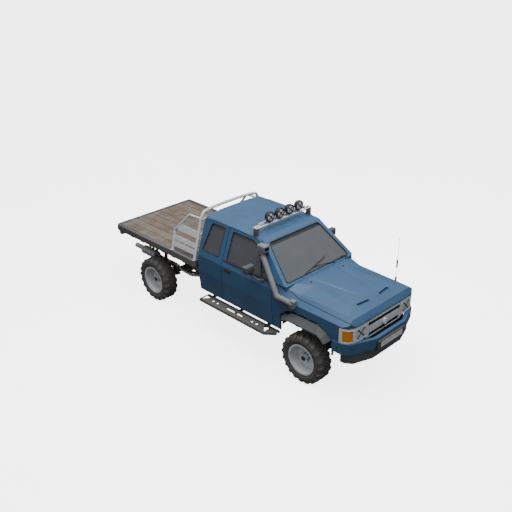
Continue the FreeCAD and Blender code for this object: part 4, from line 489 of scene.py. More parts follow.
class Shape:
    """A mesh put together from solids, in the truck's own frame."""

    def __init__(self, name):
        self.name = name
        self.bm = bmesh.new()

    def block(self, low, high, soft=0.0, turn=None, steps=2):
        """A box between two corners, its edges rounded by soft, turned about its middle."""
        low, high = Vector(low), Vector(high)
        middle, size = (low + high) / 2, high - low
        matrix = Matrix.Translation(middle) @ (turn or Matrix()) @ Matrix.Diagonal((*size, 1.0))
        made = bmesh.ops.create_cube(self.bm, size=1.0, matrix=matrix)["verts"]
        if soft:
            edges = {edge for vert in made for edge in vert.link_edges}
            bmesh.ops.bevel(self.bm, geom=list(edges), offset=soft, segments=steps, affect="EDGES",
                            profile=0.5)
        return self

    def bar(self, start, end, radius, sides=14, end_radius=None):
        """A round bar between two points, with slightly rounded ends."""
        start, end = Vector(start), Vector(end)
        end_radius = radius if end_radius is None else end_radius
        run = end - start
        soft = min(radius, end_radius) * 0.18
        soft = min(soft, run.length * 0.3)
        share = soft / run.length
        rings = ((0.0, radius - soft), (share, radius), (1 - share, end_radius), (1.0, end_radius - soft))
        self.rings([(start + run * place, size) for place, size in rings], run, sides)
        return self

    def rings(self, stations, axis, sides):
        axis = Vector(axis).normalized()
        side = axis.orthogonal().normalized()
        other = axis.cross(side)
        loops = []
        angles = [2 * math.pi * index / sides for index in range(sides)]
        for centre, radius in stations:
            loops.append([self.bm.verts.new(centre + side * (math.cos(angle) * radius)
                                            + other * (math.sin(angle) * radius)) for angle in angles])
        self.skin(loops, closed=True)
        self.bm.faces.new(reversed(loops[0]))
        self.bm.faces.new(loops[-1])

    def skin(self, loops, closed):
        for first, second in zip(loops, loops[1:]):
            count = len(first)
            for index in range(count if closed else count - 1):
                after = (index + 1) % count
                self.bm.faces.new((first[index], first[after], second[after], second[index]))

    def tube(self, points, radius, sides=8, closed=False):
        """A tube along points, its section kept level with the run."""
        points = [Vector(point) for point in points]
        count = len(points)
        angles = [2 * math.pi * step / sides for step in range(sides)]
        loops = []
        side = None
        for index, point in enumerate(points):
            before = points[index - 1] if index or closed else point
            after = points[(index + 1) % count] if index < count - 1 or closed else point
            run = (after - before).normalized()
            if side is None:
                side = run.orthogonal().normalized()
            side = (side - run * side.dot(run)).normalized()
            other = run.cross(side)
            lean = 1.0
            if 0 < index < count - 1 or closed:
                inward = (point - before).normalized()
                lean = 1.0 / max(0.5, inward.dot(run))
            loops.append([self.bm.verts.new(point + (side * math.cos(angle) + other * math.sin(angle))
                                            * radius * lean) for angle in angles])
        if closed:
            first = loops[0]
            last = loops[-1]
            turn = min(range(sides), key=lambda step: (last[0].co - first[step].co).length)
            loops.append(first[turn:] + first[:turn])
            self.skin(loops, closed=True)
        else:
            self.skin(loops, closed=True)
            self.bm.faces.new(reversed(loops[0]))
            self.bm.faces.new(loops[-1])
        return self

    def lathe(self, outline, at, axis, steps=40, closed=True):
        """An outline of (along, radius) points turned about an axis through at."""
        axis = Vector(axis).normalized()
        side = axis.orthogonal().normalized()
        other = axis.cross(side)
        at = Vector(at)
        loops = []
        for step in range(steps):
            angle = 2 * math.pi * step / steps
            out = side * math.cos(angle) + other * math.sin(angle)
            loops.append([self.bm.verts.new(at + axis * along + out * max(radius, 1e-5))
                          for along, radius in outline])
        loops.append(loops[0])
        self.skin(loops, closed=closed)
        return self

    def plate(self, outline, depth):
        """A closed outline of points made solid by depth, a vector."""
        depth = Vector(depth)
        near = [self.bm.verts.new(point) for point in outline]
        far = [self.bm.verts.new(Vector(point) + depth) for point in outline]
        self.skin([near, far], closed=True)
        self.bm.faces.new(list(reversed(near)))
        self.bm.faces.new(far)
        return self

    def bolt(self, at, axis, radius, high):
        """A hexagon head on a washer."""
        at, axis = Vector(at), Vector(axis).normalized()
        self.bar(at, at + axis * high * 0.3, radius * 1.4, sides=14)
        self.bar(at + axis * high * 0.25, at + axis * high, radius, sides=6)
        return self

    def dome(self, at, axis, radius, high, steps=12):
        stations = [(share, math.sqrt(max(0.0, 1 - share * share))) for share in (0.0, 0.4, 0.75, 0.98)]
        at, axis = Vector(at), Vector(axis).normalized()
        self.rings([(at + axis * high * share, max(radius * part, radius * 0.1))
                    for share, part in stations], axis, steps)
        return self

    def finish(self, material, body, slot, replaces=(), smooth=40.0):
        """Makes the object, gives it its finish and lets it ride on its body."""
        bmesh.ops.recalc_face_normals(self.bm, faces=self.bm.faces)
        mesh = bpy.data.meshes.new(self.name)
        self.bm.to_mesh(mesh)
        self.bm.free()
        mesh.shade_smooth()
        mesh.set_sharp_from_angle(angle=math.radians(smooth))
        mesh.materials.append(finishes[material])
        piece = bpy.data.objects.new(self.name, mesh)
        bpy.context.scene.collection.objects.link(piece)
        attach(piece, body)
        if replaces:
            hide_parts(*replaces)
        return piece


def turned_about(point, axis, angle):
    point = Vector(point)
    return Matrix.Translation(point) @ Matrix.Rotation(angle, 4, axis) @ Matrix.Translation(-point)


def side_surface(z, inset=0.0):
    """How far out the cab's side is at a height."""
    belt, roof_edge = 1.245, 1.838
    if z <= belt:
        return 0.800 - inset
    return 0.800 - 0.200 * (z - belt) / (roof_edge - belt) - inset


def screen_point(x, z, out=0.0):
    """A point on the windscreen's slope at a height, moved out along its normal."""
    foot, top = Vector((0, -1.330, 1.338)), Vector((0, -0.765, 1.812))
    run = (top - foot).normalized()
    normal = Vector((0, -run.z, run.y))
    share = (z - foot.z) / (top.z - foot.z)
    point = foot + (top - foot) * share + normal * out
    return Vector((x, point.y, point.z))


def bonnet_top(y):
    """Height of the bonnet's top along the truck."""
    return 1.340 + (y + 1.330) * (1.340 - 1.292) / (2.280 - 1.330)


# ---------------------------------------------------------------- operators

class PieceOperator(bpy.types.Operator):
    """Makes one group of pieces"""
    bl_options = {"REGISTER", "UNDO"}

    def execute(self, context):
        self.make()
        return {"FINISHED"}


SLOT_FINISHES = {
    "body_paint": "body", "light_paint": "light", "rim_paint": "rim", "dark_steel": "tray",
    "chassis_steel": "chassis", "red_paint": "damper", "engine_metal": "engine",
    "exhaust_metal": "exhaust", "tyre": "tyre", "glass": "glass", "lamp": "lamps", "tail_lamp": "tail",
    "dark_plastic": "plastic", "grey_plastic": "snorkel", "boards": "boards", "seat_cloth": "cloth",
}
NODE_FINISHES = {"dashboard": "trim"}


class TRUCK_OT_finishes(PieceOperator):
    """Makes the finishes and gives each carried-over piece its own"""
    bl_idname = "truck.finishes"
    bl_label = "Finishes"

    def make(self):
        make_finishes()
        for subpart in frame["record"]["subparts"]:
            name = subpart["node"]
            key = NODE_FINISHES.get(name) or SLOT_FINISHES[subpart["material_slot"]]
            for slot in frame["nodes"][name].material_slots:
                slot.material = finishes[key]


class TRUCK_OT_tyres(PieceOperator):
    """Makes the tyres with their shoulder lugs and zigzag middle blocks"""
    bl_idname = "truck.tyres"
    bl_label = "Tyres"

    def make(self):
        for place in WHEELS:
            low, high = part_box("tyre_" + place)
            middle = (Vector(low) + Vector(high)) / 2
            radius = (high[2] - low[2]) / 2
            half = (high[0] - low[0]) / 2
            self.tyre(place, middle, radius, half)

    def tyre(self, place, middle, radius, half):
        floor = radius - sizes().lug_height
        bead = 0.222
        carcass = [(-half + 0.030, bead), (-half + 0.022, bead + 0.024), (-half + 0.004, bead + 0.055),
                   (-half + 0.001, bead + 0.080), (-half + 0.006, bead + 0.088),
                   (-half + 0.008, bead + 0.112),
                   (-half + 0.028, floor - 0.004), (-half + 0.090, floor)]
        carcass += [(-u, v) for u, v in reversed(carcass)]
        shape = Shape("tyre_with_lugs_" + place)
        shape.lathe(carcass, middle, X, steps=72)
        count = sizes().lug_count
        for number in range(count):
            turn = 2 * math.pi * number / count
            for side in (-1, 1):
                start = turn + (math.pi / count if side > 0 else 0.0)
                self.lug(shape, middle, side, start, radius - 0.0005, floor, half)
            self.block(shape, middle, turn, radius - 0.001, floor, 1)
            self.block(shape, middle, turn + math.pi / count, radius - 0.001, floor, -1)
        shape.finish("tyre", "wheel_" + place, "tyre", replaces=("tyre_" + place,), smooth=30.0)

    def lug(self, shape, middle, side, start, top, floor, half):
        """A shoulder lug that wraps down the sidewall."""
        outline = [(0.050, floor - 0.006), (0.054, top - 0.002), (half - 0.028, top - 0.003),
                   (half - 0.004, top - 0.030),
                   (half - 0.0005, top - 0.066), (half - 0.012, top - 0.074), (half - 0.030, floor - 0.012)]
        loops = []
        for share, taper in ((-1.0, 0.0), (-0.86, 1.0), (0.86, 1.0), (1.0, 0.0)):
            loop = []
            for u, v in outline:
                wide = 0.088 + 0.030 * (u > half - 0.03)
                sweep = 0.10 * (half - u) / half
                angle = start + share * wide * 0.5 + side * sweep
                drop = (1.0 - taper) * 0.004 * (v > floor)
                out = Vector((0, math.cos(angle), math.sin(angle)))
                loop.append(shape.bm.verts.new(middle + X * (side * u) + out * (v - drop)))
            loops.append(loop)
        shape.skin(loops, closed=True)
        shape.bm.faces.new(list(reversed(loops[0])))
        shape.bm.faces.new(loops[-1])

    def block(self, shape, middle, start, top, floor, way):
        """A slanted block in the middle of the tread."""
        loops = []
        for share in (-1.0, -0.82, 0.82, 1.0):
            drop = 0.004 if abs(share) == 1.0 else 0.0
            loop = []
            for u, v in ((-0.006, floor - 0.006), (-0.006, top - drop), (0.046, top - drop),
                         (0.046, floor - 0.006)):
                angle = start + share * 0.050 + way * u * 1.6 + 0.04
                out = Vector((0, math.cos(angle), math.sin(angle)))
                loop.append(shape.bm.verts.new(middle + X * (way * u) + out * v))
            loops.append(loop)
        shape.skin(loops, closed=True)
        shape.bm.faces.new(list(reversed(loops[0])))
        shape.bm.faces.new(loops[-1])


class TRUCK_OT_wheel_trim(PieceOperator):
    """Adds wheel nuts, dark hub caps, a stiffening ring and a valve to each wheel"""
    bl_idname = "truck.wheel_trim"
    bl_label = "Wheel trim"

    def make(self):
        for place in WHEELS:
            low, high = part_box("rim_" + place)
            middle = (Vector(low) + Vector(high)) / 2
            side = -1 if middle.x < 0 else 1
            out = X * side
            centre = Vector((side * 0.748, middle.y, middle.z))
            cap = Shape("hub_cap_" + place)
            cap.lathe([(0.0, 0.0), (0.0, 0.030), (0.004, 0.038), (0.008, 0.036), (0.011, 0.026),
                       (0.012, 0.0)],
                      centre + out * 0.0575, out, 28)
            for number in range(6):
                angle = math.pi / 3 * number
                spot = centre + Vector((0, math.cos(angle), math.sin(angle))) * 0.052 - out * 0.016
                cap.bolt(spot, out, 0.010, 0.018)
            cap.finish("hub", "wheel_" + place, "dark_steel")
            trim = Shape("wheel_rings_" + place)
            face = centre - out * 0.038
            trim.lathe([(-0.002, 0.120), (0.006, 0.126), (0.006, 0.170), (-0.002, 0.178)], face, out, 48)
            for number in range(8):
                angle = math.pi / 4 * number + 0.2
                way = Vector((0, math.cos(angle), math.sin(angle)))
                across = Vector((0, -math.sin(angle), math.cos(angle)))
                start = face + way * 0.070
                trim.plate([start + across * 0.012, start + way * 0.052 + across * 0.020,
                            start + way * 0.052 - across * 0.020, start - across * 0.012], out * 0.006)
            trim.bar(face + Vector((0, 0.190, 0)), face + Vector((0, 0.196, 0)) + out * 0.036, 0.004, 8)
            trim.finish("rim", "wheel_" + place, "rim_paint")


class TRUCK_OT_window_seals(PieceOperator):
    """Fits rubber seals round every pane, and the quarter vent's divider on each door"""
    bl_idname = "truck.window_seals"
    bl_label = "Window seals"

    door = ((-0.117, 1.338), (-0.133, 1.780), (-0.560, 1.780), (-0.690, 1.725), (-1.000, 1.338))
    quarter = ((0.434, 1.338), (0.329, 1.780), (0.031, 1.780), (0.056, 1.338))

    def make(self):
        thick = sizes().seal
        for name, side in SIDES:
            shape = Shape("door_window_seal_" + name)
            shape.tube([(side * side_surface(z, 0.004), y, z) for y, z in rounded_corners(self.door, 0.03)],
                       thick, 8, True)
            foot, top = Vector((0, -0.862, 1.345)), Vector((0, -0.745, 1.650))
            shape.tube([(side * side_surface(point.z, 0.006), point.y, point.z) for point in (foot, top)],
                       0.009, 8)
            shape.block((side * side_surface(1.32) - 0.006, -1.050, 1.322),
                        (side * side_surface(1.32) + 0.006, -0.060, 1.334),
                        0.003)
            shape.finish("seal", "door_" + name, "dark_plastic")
            shape = Shape("quarter_window_seal_" + name)
            shape.tube([(side * side_surface(z, 0.004), y, z)
                        for y, z in rounded_corners(self.quarter, 0.04)], thick, 8, True)
            shape.finish("seal", "chassis", "dark_plastic")
        shape = Shape("windscreen_seal")
        corners = ((0.538, 1.788), (0.688, 1.366), (-0.688, 1.366), (-0.538, 1.788))
        shape.tube([screen_point(x, z, -0.002) for x, z in rounded_corners(corners, 0.05)], 0.009, 8, True)
        band = [screen_point(x, z, -0.009) for x, z in ((-0.530, 1.784), (0.530, 1.784), (0.541, 1.752),
                                                        (-0.541, 1.752))]
        shape.plate(band, Vector((0, 0.004, -0.004)))
        shape.finish("seal", "chassis", "dark_plastic")
        shape = Shape("rear_window_seal")
        low, high, half = 1.348, 1.730, 0.490
        loop = rounded_corners(((half, low), (half, high), (-half, high), (-half, low)), 0.04)
        shape.tube([(x, 0.5345, z) for x, z in loop], 0.009, 8, True)
        shape.finish("seal", "chassis", "dark_plastic")


def rounded_corners(outline, radius, steps=4):
    """A closed outline of flat points with each corner rounded."""
    result = []
    count = len(outline)
    for index in range(count):
        before, corner, after = [Vector(outline[(index + shift) % count]) for shift in (-1, 0, 1)]
        back, ahead = (before - corner), (after - corner)
        reach = min(radius, back.length * 0.45, ahead.length * 0.45)
        start, end = corner + back.normalized() * reach, corner + ahead.normalized() * reach
        for step in range(steps + 1):
            share = step / steps
            point = start * (1 - share) ** 2 + corner * 2 * share * (1 - share) + end * share ** 2
            result.append((point.x, point.y))
    return result


class TRUCK_OT_wipers(PieceOperator):
    """Lays two wipers at the foot of the windscreen and black vent strips on the cowl"""
    bl_idname = "truck.wipers"
    bl_label = "Wipers"

    def make(self):
        shape = Shape("wipers")
        for pivot, inner, outer in ((0.330, (-0.402, 1.360), (0.244, 1.447)),
                                    (0.610, (0.300, 1.358), (0.560, 1.374))):
            ends = [screen_point(inner[0], inner[1]), screen_point(outer[0], outer[1])]
            lift = Vector((0, -0.005, 0.006))
            shape.tube([ends[0] + lift, ends[0].lerp(ends[1], 0.5) + lift * 1.3, ends[1] + lift], 0.0048, 6)
            shape.tube(ends, 0.0032, 6)
            base = screen_point(pivot, 1.356, 0.010)
            shape.bar(screen_point(pivot, 1.356, -0.004), base + Vector((0, -0.006, 0.006)), 0.013, 12)
            shape.tube([base, ends[0].lerp(ends[1], 0.5) + lift * 2], 0.0050, 8)
        shape.finish("black", "chassis", "dark_plastic")
        shape = Shape("cowl_vents")
        for side in (-1, 1):
            for row in range(3):
                y = -1.3245
                shape.block((side * 0.42 - 0.12, y - 0.004, 1.300 + row * 0.010),
                            (side * 0.42 + 0.12, y + 0.001, 1.305 + row * 0.010))
        shape.finish("black", "chassis", "dark_plastic")


class TRUCK_OT_bonnet_trim(PieceOperator):
    """Raises the bonnet's middle, and puts the slots and washers on it"""
    bl_idname = "truck.bonnet_trim"
    bl_label = "Bonnet trim"

    def make(self):
        bulge = Shape("bonnet_bulge")
        rows = 14
        grid = []
        for row in range(rows + 1):
            share = row / rows
            y = -2.205 + (2.205 - 1.352) * share
            half = 0.135 + 0.165 * share
            rise = 0.013 * math.sin(min(1.0, share * 1.6) * math.pi / 2) * min(1.0, (1.02 - share) * 9.0)
            line = []
            for across, lift in ((-1.0, 0.0), (-0.94, 0.55), (-0.86, 1.0), (-0.4, 1.15), (0.0, 1.2),
                                 (0.4, 1.15),
                                 (0.86, 1.0), (0.94, 0.55), (1.0, 0.0)):
                line.append((across * half, y, bonnet_top(y) - 0.0015 + rise * lift))
            grid.append([bulge.bm.verts.new(point) for point in line])
        bulge.skin(grid, closed=False)
        bulge.finish("body", "bonnet", "body_paint", smooth=25.0)
        slots = Shape("bonnet_slots")
        for side in (-1, 1):
            pivot = (side * 0.232, -2.270, 1.280)
            turn = turned_about(pivot, "Z", math.radians(7 * side))
            before = set(slots.bm.verts)
            low, high = Vector((-0.108, -0.006, -0.014)), Vector((0.108, -0.001, 0.006))
            slots.block(Vector(pivot) + low, Vector(pivot) + high, 0.0015)
            fresh = [vert for vert in slots.bm.verts if vert not in before]
            bmesh.ops.transform(slots.bm, matrix=turn, verts=fresh)
        slots.finish("black", "bonnet", "dark_plastic")
        jets = Shape("washer_jets")
        for side in (-1, 1):
            y = -1.46
            jets.block((side * 0.36 - 0.014, y - 0.010, bonnet_top(y) - 0.002),
                       (side * 0.36 + 0.014, y + 0.012, bonnet_top(y) + 0.009),
                       0.004)
        jets.finish("black", "bonnet", "dark_plastic")
        lip = Shape("bonnet_edge")
        lip.tube([(-0.690, -2.452, 1.168), (-0.400, -2.497, 1.166), (0.400, -2.497, 1.166),
                  (0.690, -2.452, 1.168)], 0.004, 6)
        lip.finish("body", "bonnet", "body_paint")


def nose_face(x):
    """Where the nose's front face lies along the truck at a place across it."""
    spots = ((0.0, -2.500), (0.522, -2.500), (0.642, -2.490), (0.732, -2.445), (0.772, -2.370))
    for (x0, y0), (x1, y1) in zip(spots, spots[1:]):
        if abs(x) <= x1:
            return y0 + (y1 - y0) * (abs(x) - x0) / (x1 - x0)
    return spots[-1][1]


class TRUCK_OT_front_lamps(PieceOperator):
    """Frames the front lamps and tapes a cross over each headlamp"""
    bl_idname = "truck.front_lamps"
    bl_label = "Front lamps"

    def make(self):
        frames = Shape("lamp_frames")
        tape = Shape("lamp_tape")
        for side in (-1, 1):
            outline = rounded_corners(((0.409, 0.929), (0.636, 0.929), (0.636, 1.108), (0.409, 1.108)), 0.012)
            frames.tube([(side * x, nose_face(x) - 0.001, z) for x, z in outline], 0.0045, 6, True)
            corner = [(0.666, 0.929), (0.732, 0.929), (0.769, 0.929), (0.7735, 0.929), (0.7735, 1.108),
                      (0.769, 1.108),
                      (0.732, 1.108), (0.666, 1.108)]
            frames.tube([(side * x, nose_face(x) - 0.001 if x < 0.77 else -2.368, z) for x, z in corner],
                        0.004, 6, True)
            wide = sizes().tape / 2
            for a, b in (((0.455, 0.950), (0.590, 1.088)), ((0.590, 0.950), (0.455, 1.088))):
                run = Vector((b[0] - a[0], b[1] - a[1])).normalized()
                across = Vector((-run.y, run.x)) * wide
                quad = [(a[0] + across.x, a[1] + across.y), (b[0] + across.x, b[1] + across.y),
                        (b[0] - across.x, b[1] - across.y), (a[0] - across.x, a[1] - across.y)]
                tape.plate([(side * x, nose_face(x) - 0.0035, z) for x, z in quad], (0, 0.003, 0))
        frames.finish("light", "chassis", "light_paint")
        tape.finish("tape", "chassis", "dark_plastic")


class TRUCK_OT_grille_trim(PieceOperator):
    """Fits louvres and a dark mesh behind the grille's slots, and the ring on its boss"""
    bl_idname = "truck.grille_trim"
    bl_label = "Grille trim"

    def make(self):
        mesh = Shape("grille_mesh")
        for low, high, half in ((1.043, 1.105, 0.370), (0.878, 0.940, 0.348)):
            mesh.block((-half - 0.01, -2.468, low - 0.008), (half + 0.01, -2.462, high + 0.008))
            for number in range(3):
                z = low + (high - low) * (number + 0.5) / 3
                mesh.block((-half, -2.492, z - 0.003), (half, -2.470, z + 0.003), 0.0015)
            for number in range(15):
                x = -half + half * 2 * (number + 0.5) / 15
                mesh.block((x - 0.003, -2.484, low), (x + 0.003, -2.469, high))
        mesh.finish("black", "chassis", "dark_plastic")
        ring = Shape("grille_boss_ring")
        ring.lathe([(0.0, 0.030), (0.006, 0.034), (0.006, 0.042), (0.0, 0.0455)], (0, -2.5215, 0.9915), -Y,
                   36)
        ring.lathe([(0.0, 0.0), (0.0, 0.024), (0.005, 0.018), (0.007, 0.008), (0.0075, 0.0)],
                   (0, -2.5215, 0.9915), -Y, 24)
        ring.finish("light", "chassis", "light_paint")
        plate = Shape("blank_plate")
        outline = rounded_corners(((-0.252, 0.736), (0.252, 0.736), (0.252, 0.824), (-0.252, 0.824)), 0.012)
        plate.plate([(x, PLATE_Y, z) for x, z in outline], (0, 0.004, 0))
        rim = rounded_corners(((-0.246, 0.742), (0.246, 0.742), (0.246, 0.818), (-0.246, 0.818)), 0.010)
        plate.tube([(x, PLATE_Y, z) for x, z in rim], 0.0016, 6, True)
        plate.finish("plate", "chassis", "light_paint")
        screws = Shape("plate_screws")
        for x in (-0.15, 0.15):
            screws.dome((x, PLATE_Y, 0.780), -Y, 0.006, 0.003)
        screws.finish("bolt", "chassis", "dark_steel")
        bumper = Shape("bumper_trim")
        for side in (-1, 1):
            for z in (0.760, 0.800):
                bumper.bolt((side * 0.7855, -2.300, z + 0.02), X * side, 0.008, 0.008)
        bumper.finish("black", "chassis", "dark_plastic")


class TRUCK_OT_roof_lamps(PieceOperator):
    """Gives the roof lamps their rims, lenses, tape crosses and clamps"""
    bl_idname = "truck.roof_lamps"
    bl_label = "Roof lamps"

    def make(self):
        barrels, lenses, tape, clamps = (Shape("roof_lamp_" + part)
                                         for part in ("barrels", "lenses", "tape", "clamps"))
        radius = LAMP_RADIUS
        for number in range(4):
            centre = Vector(((number - 1.5) * LAMP_STEP, LAMP_FRONT_Y, LAMP_HEIGHT))
            barrels.lathe([(0.012, radius - 0.010), (0.010, radius - 0.002), (0.004, radius),
                           (-0.030, radius), (-0.036, radius - 0.006),
                           (-0.060, radius - 0.014), (-0.078, radius * 0.45), (-0.080, 0.0), (0.000, 0.0),
                           (0.000, radius - 0.017)],
                          centre, -Y, 40)
            lenses.lathe([(0.0005, 0.0), (0.0005, radius - 0.018), (0.004, radius - 0.019),
                          (0.009, radius * 0.5), (0.010, 0.0)],
                         centre, -Y, 36)
            wide = sizes().tape * 0.45
            for lean in (-1, 1):
                along = Vector((lean, 0, 1)).normalized() * (radius - 0.012)
                across = Vector((1, 0, -lean)).normalized() * wide
                front = centre + Vector((0, -0.013, 0))
                tape.plate([front + along + across, front - along + across, front - along - across,
                            front + along - across],
                           (0, 0.0035, 0))
            clamps.block(centre + Vector((-0.016, 0.014, 0.008 - radius - 0.022)),
                         centre + Vector((0.016, 0.044, 0.012 - radius)), 0.003)
            clamps.bolt(centre + Vector((0.014, 0.029, -radius - 0.004)), X, 0.007, 0.008)
        barrels.finish("black", "chassis", "dark_plastic", replaces=("roof_lamps",))
        lenses.finish("lens", "chassis", "lamp")
        tape.finish("tape", "chassis", "dark_plastic")
        clamps.finish("bolt", "chassis", "dark_steel")


class TRUCK_OT_roof_bar(PieceOperator):
    """Builds the twin roof bar with its feet and the hoop that holds the lamps"""
    bl_idname = "truck.roof_bar"
    bl_label = "Roof bar"

    def make(self):
        bar = Shape("roof_bar")
        for y in BAR_TUBES_Y:
            bar.tube([(-BAR_HALF, y, BAR_HEIGHT), (BAR_HALF, y, BAR_HEIGHT)], BAR_TUBE, 12)
        for x in (-0.590, -0.315, 0.0, 0.315, 0.590):
            bar.block((x - 0.012, -0.590, 1.955), (x + 0.012, -0.540, 1.969), 0.002)
        side = [(0.500, -0.545, 1.942), (0.490, -0.545, 1.991), (0.455, -0.533, 1.984)]
        bar.tube([(-x, y, z) for x, y, z in side] + side[::-1], BAR_TUBE, 12)
        bar.finish("light", "chassis", "light_paint", replaces=("light_bar",))
        feet = Shape("roof_bar_feet")
        for side in (-1, 1):
            low, high = sorted((side * 0.545, side * 0.600))
            feet.block((low, -0.600, 1.834), (high, -0.530, 1.952), 0.006)
            feet.block((low - 0.008, -0.612, 1.829), (high + 0.008, -0.518, 1.842), 0.004)
        feet.finish("plastic", "chassis", "dark_plastic")


class TRUCK_OT_door_furniture(PieceOperator):
    """Adds door handles, locks, mirror glass, and the cards inside the doors"""
    bl_idname = "truck.door_furniture"
    bl_label = "Door furniture"

    def make(self):
        for name, side in SIDES:
            handle = Shape("door_handle_" + name)
            x = side * 0.800
            outline = rounded_corners(((-0.245, 1.172), (-0.115, 1.172), (-0.115, 1.222), (-0.245, 1.222)),
                                      0.014)
            handle.plate([(x - side * 0.001, y, z) for y, z in outline], (side * 0.006, 0, 0))
            handle.block((min(x, x + side * 0.016), -0.238, 1.196),
                         (max(x, x + side * 0.016), -0.128, 1.216), 0.005)
            handle.bar((x, -0.098, 1.196), (x + side * 0.004, -0.098, 1.196), 0.010, 16)
            handle.finish("black", "door_" + name, "dark_plastic")
            low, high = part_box("mirror_" + name)
            case = Shape("mirror_case_" + name)
            head_low, head_high = sorted((side * 0.830, side * 1.005))
            case.block((head_low, -0.940 + MIRROR_BACK, 1.423), (head_high, -0.852 + MIRROR_BACK, 1.541),
                       0.016, steps=3)
            foot = side * (min(abs(low[0]), abs(high[0])) + 0.001)
            case.block((min(foot, foot + side * 0.020), low[1] + 0.004, 1.291),
                       (max(foot, foot + side * 0.020), low[1] + 0.070, 1.330), 0.006)
            case.tube([(foot + side * 0.010, low[1] + 0.040, 1.311), (side * 0.835, low[1] + 0.080, 1.325),
                       (side * 0.868, -0.900 + MIRROR_BACK, 1.372),
                       (side * 0.868, -0.900 + MIRROR_BACK, 1.426)], 0.013, 12)
            case.finish("plastic", "door_" + name, "dark_plastic", replaces=("mirror_" + name,))
            mirror = Shape("mirror_glass_" + name)
            inner, outer = side * 0.838, side * 0.997
            y = -0.8515 + MIRROR_BACK
            outline = rounded_corners(((inner, 1.431), (outer, 1.431), (outer, 1.533), (inner, 1.533)), 0.014)
            mirror.plate([(px, y, pz) for px, pz in outline], (0, 0.003, 0))
            mirror.finish("mirror", "door_" + name, "glass")
            spot = Shape("spot_mirror_" + name)
            centre = Vector((side * 0.872, -0.880 + MIRROR_BACK, 1.392))
            spot.lathe([(-0.010, 0.0), (-0.008, 0.020), (0.004, 0.030), (0.006, 0.028), (0.004, 0.0)],
                       centre, Y, 24)
            spot.bar((side * 0.872, MIRROR_BACK - 0.885, 1.412), (side * 0.872, MIRROR_BACK - 0.885, 1.430),
                     0.006, 8)
            spot.finish("plastic", "door_" + name, "dark_plastic")
            card = Shape("door_card_" + name)
            inside = side * 0.744
            low_x, high_x = sorted((inside, inside + side * 0.0055))
            card.block((low_x, -1.070, 0.985), (high_x, -0.070, 1.240), 0.002)
            low_x, high_x = sorted((inside - side * 0.045, inside))
            card.block((low_x, -0.760, 1.040), (high_x, -0.330, 1.085), 0.014, steps=3)
            card.bar((inside, -0.880, 1.010), (inside - side * 0.020, -0.880, 1.010), 0.030, 20)
            card.tube([(inside - side * 0.018, -0.880, 1.010), (inside - side * 0.026, -0.820, 1.020),
                       (inside - side * 0.024, -0.790, 1.025)], 0.007, 8)
            card.bar((inside - side * 0.020, -0.790, 1.025), (inside - side * 0.050, -0.790, 1.025), 0.010,
                     12)
            card.block((low_x + 0.02 * (side > 0), -0.300, 1.130),
                       (high_x - 0.02 * (side < 0), -0.220, 1.165), 0.006)
            card.finish("trim", "door_" + name, "dark_plastic")


class TRUCK_OT_body_trim(PieceOperator):
    """Adds roof gutters, fuel flap, flare bolts and the cab's small trim"""
    bl_idname = "truck.body_trim"
    bl_label = "Body trim"

    def make(self):
        gutters = Shape("roof_gutters")
        for side in (-1, 1):
            line = ((-0.700, 1.800), (-0.640, 1.822), (-0.300, 1.829), (0.300, 1.829), (0.440, 1.812))
            gutters.tube([(side * (side_surface(z) - 0.002), y, z) for y, z in line], 0.007, 8)
        gutters.finish("body", "chassis", "body_paint")
        flap = Shape("fuel_flap")
        outline = rounded_corners(((0.170, 1.020), (0.320, 1.020), (0.320, 1.160), (0.170, 1.160)), 0.025)
        flap.plate([(0.7995, y, z) for y, z in outline], (0.003, 0, 0))
        flap.bar((0.802, 0.182, 1.060), (0.802, 0.182, 1.120), 0.005, 10)
        flap.finish("body", "chassis", "body_paint")
        bolts = Shape("flare_bolts")
        for side in (-1, 1):
            for y, z in ((-1.352, 0.965), (-1.480, 1.030), (-1.600, 1.052), (-1.800, 1.052), (-1.960, 1.040),
                         (-2.060, 0.985)):
                bolts.dome((side * 0.7875, y, z - 0.012), X * side, 0.007, 0.006)
        bolts.finish("bolt", "chassis", "dark_steel")


class TRUCK_OT_deck_bolts(PieceOperator):
    """Bolts the boards down to the bearers, and the headboard and tray to their feet"""
    bl_idname = "truck.deck_bolts"
    bl_label = "Deck bolts"

    def make(self):
        low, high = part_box("tray_boards")
        pitch = (high[0] - low[0] + 0.006) / 9
        bolts = Shape("deck_bolts")
        for row in range(6):
            y = 0.627 + 0.28086 * (row + 1)
            for board in range(9):
                for part in (0.25, 0.75):
                    bolts.dome((low[0] + pitch * board + (pitch - 0.006) * part, y, high[2] - 0.0005), Z,
                               sizes().bolt, 0.003, 8)
        bolts.finish("bolt", "chassis", "dark_steel")
        feet = Shape("headboard_bolts")
        for side in (-1, 1):
            for x, y in ((0.778, 0.575), (0.822, 0.575), (0.822, 0.608)):
                feet.bolt((side * x, y, 1.1205), Z, 0.006, 0.007)
        feet.finish("bolt", "chassis", "dark_steel")
        edge = Shape("tray_edge_trim")
        deck = 1.113
        for side in (-1, 1):
            for number in range(7):
                y = 0.80 + number * 0.28
                edge.tube([(side * RAIL_X, y - 0.05, 1.020), (side * RAIL_X, y - 0.04, 1.006),
                           (side * RAIL_X, y + 0.04, 1.006),
                           (side * RAIL_X, y + 0.05, 1.020)], 0.005, 8)
            edge.tube([(side * 0.779, 0.640, deck), (side * 0.779, 2.585, deck)], 0.003, 6)
        edge.tube([(-0.779, 2.590, deck), (0.779, 2.590, deck)], 0.003, 6)
        edge.finish("tray", "chassis", "dark_steel")


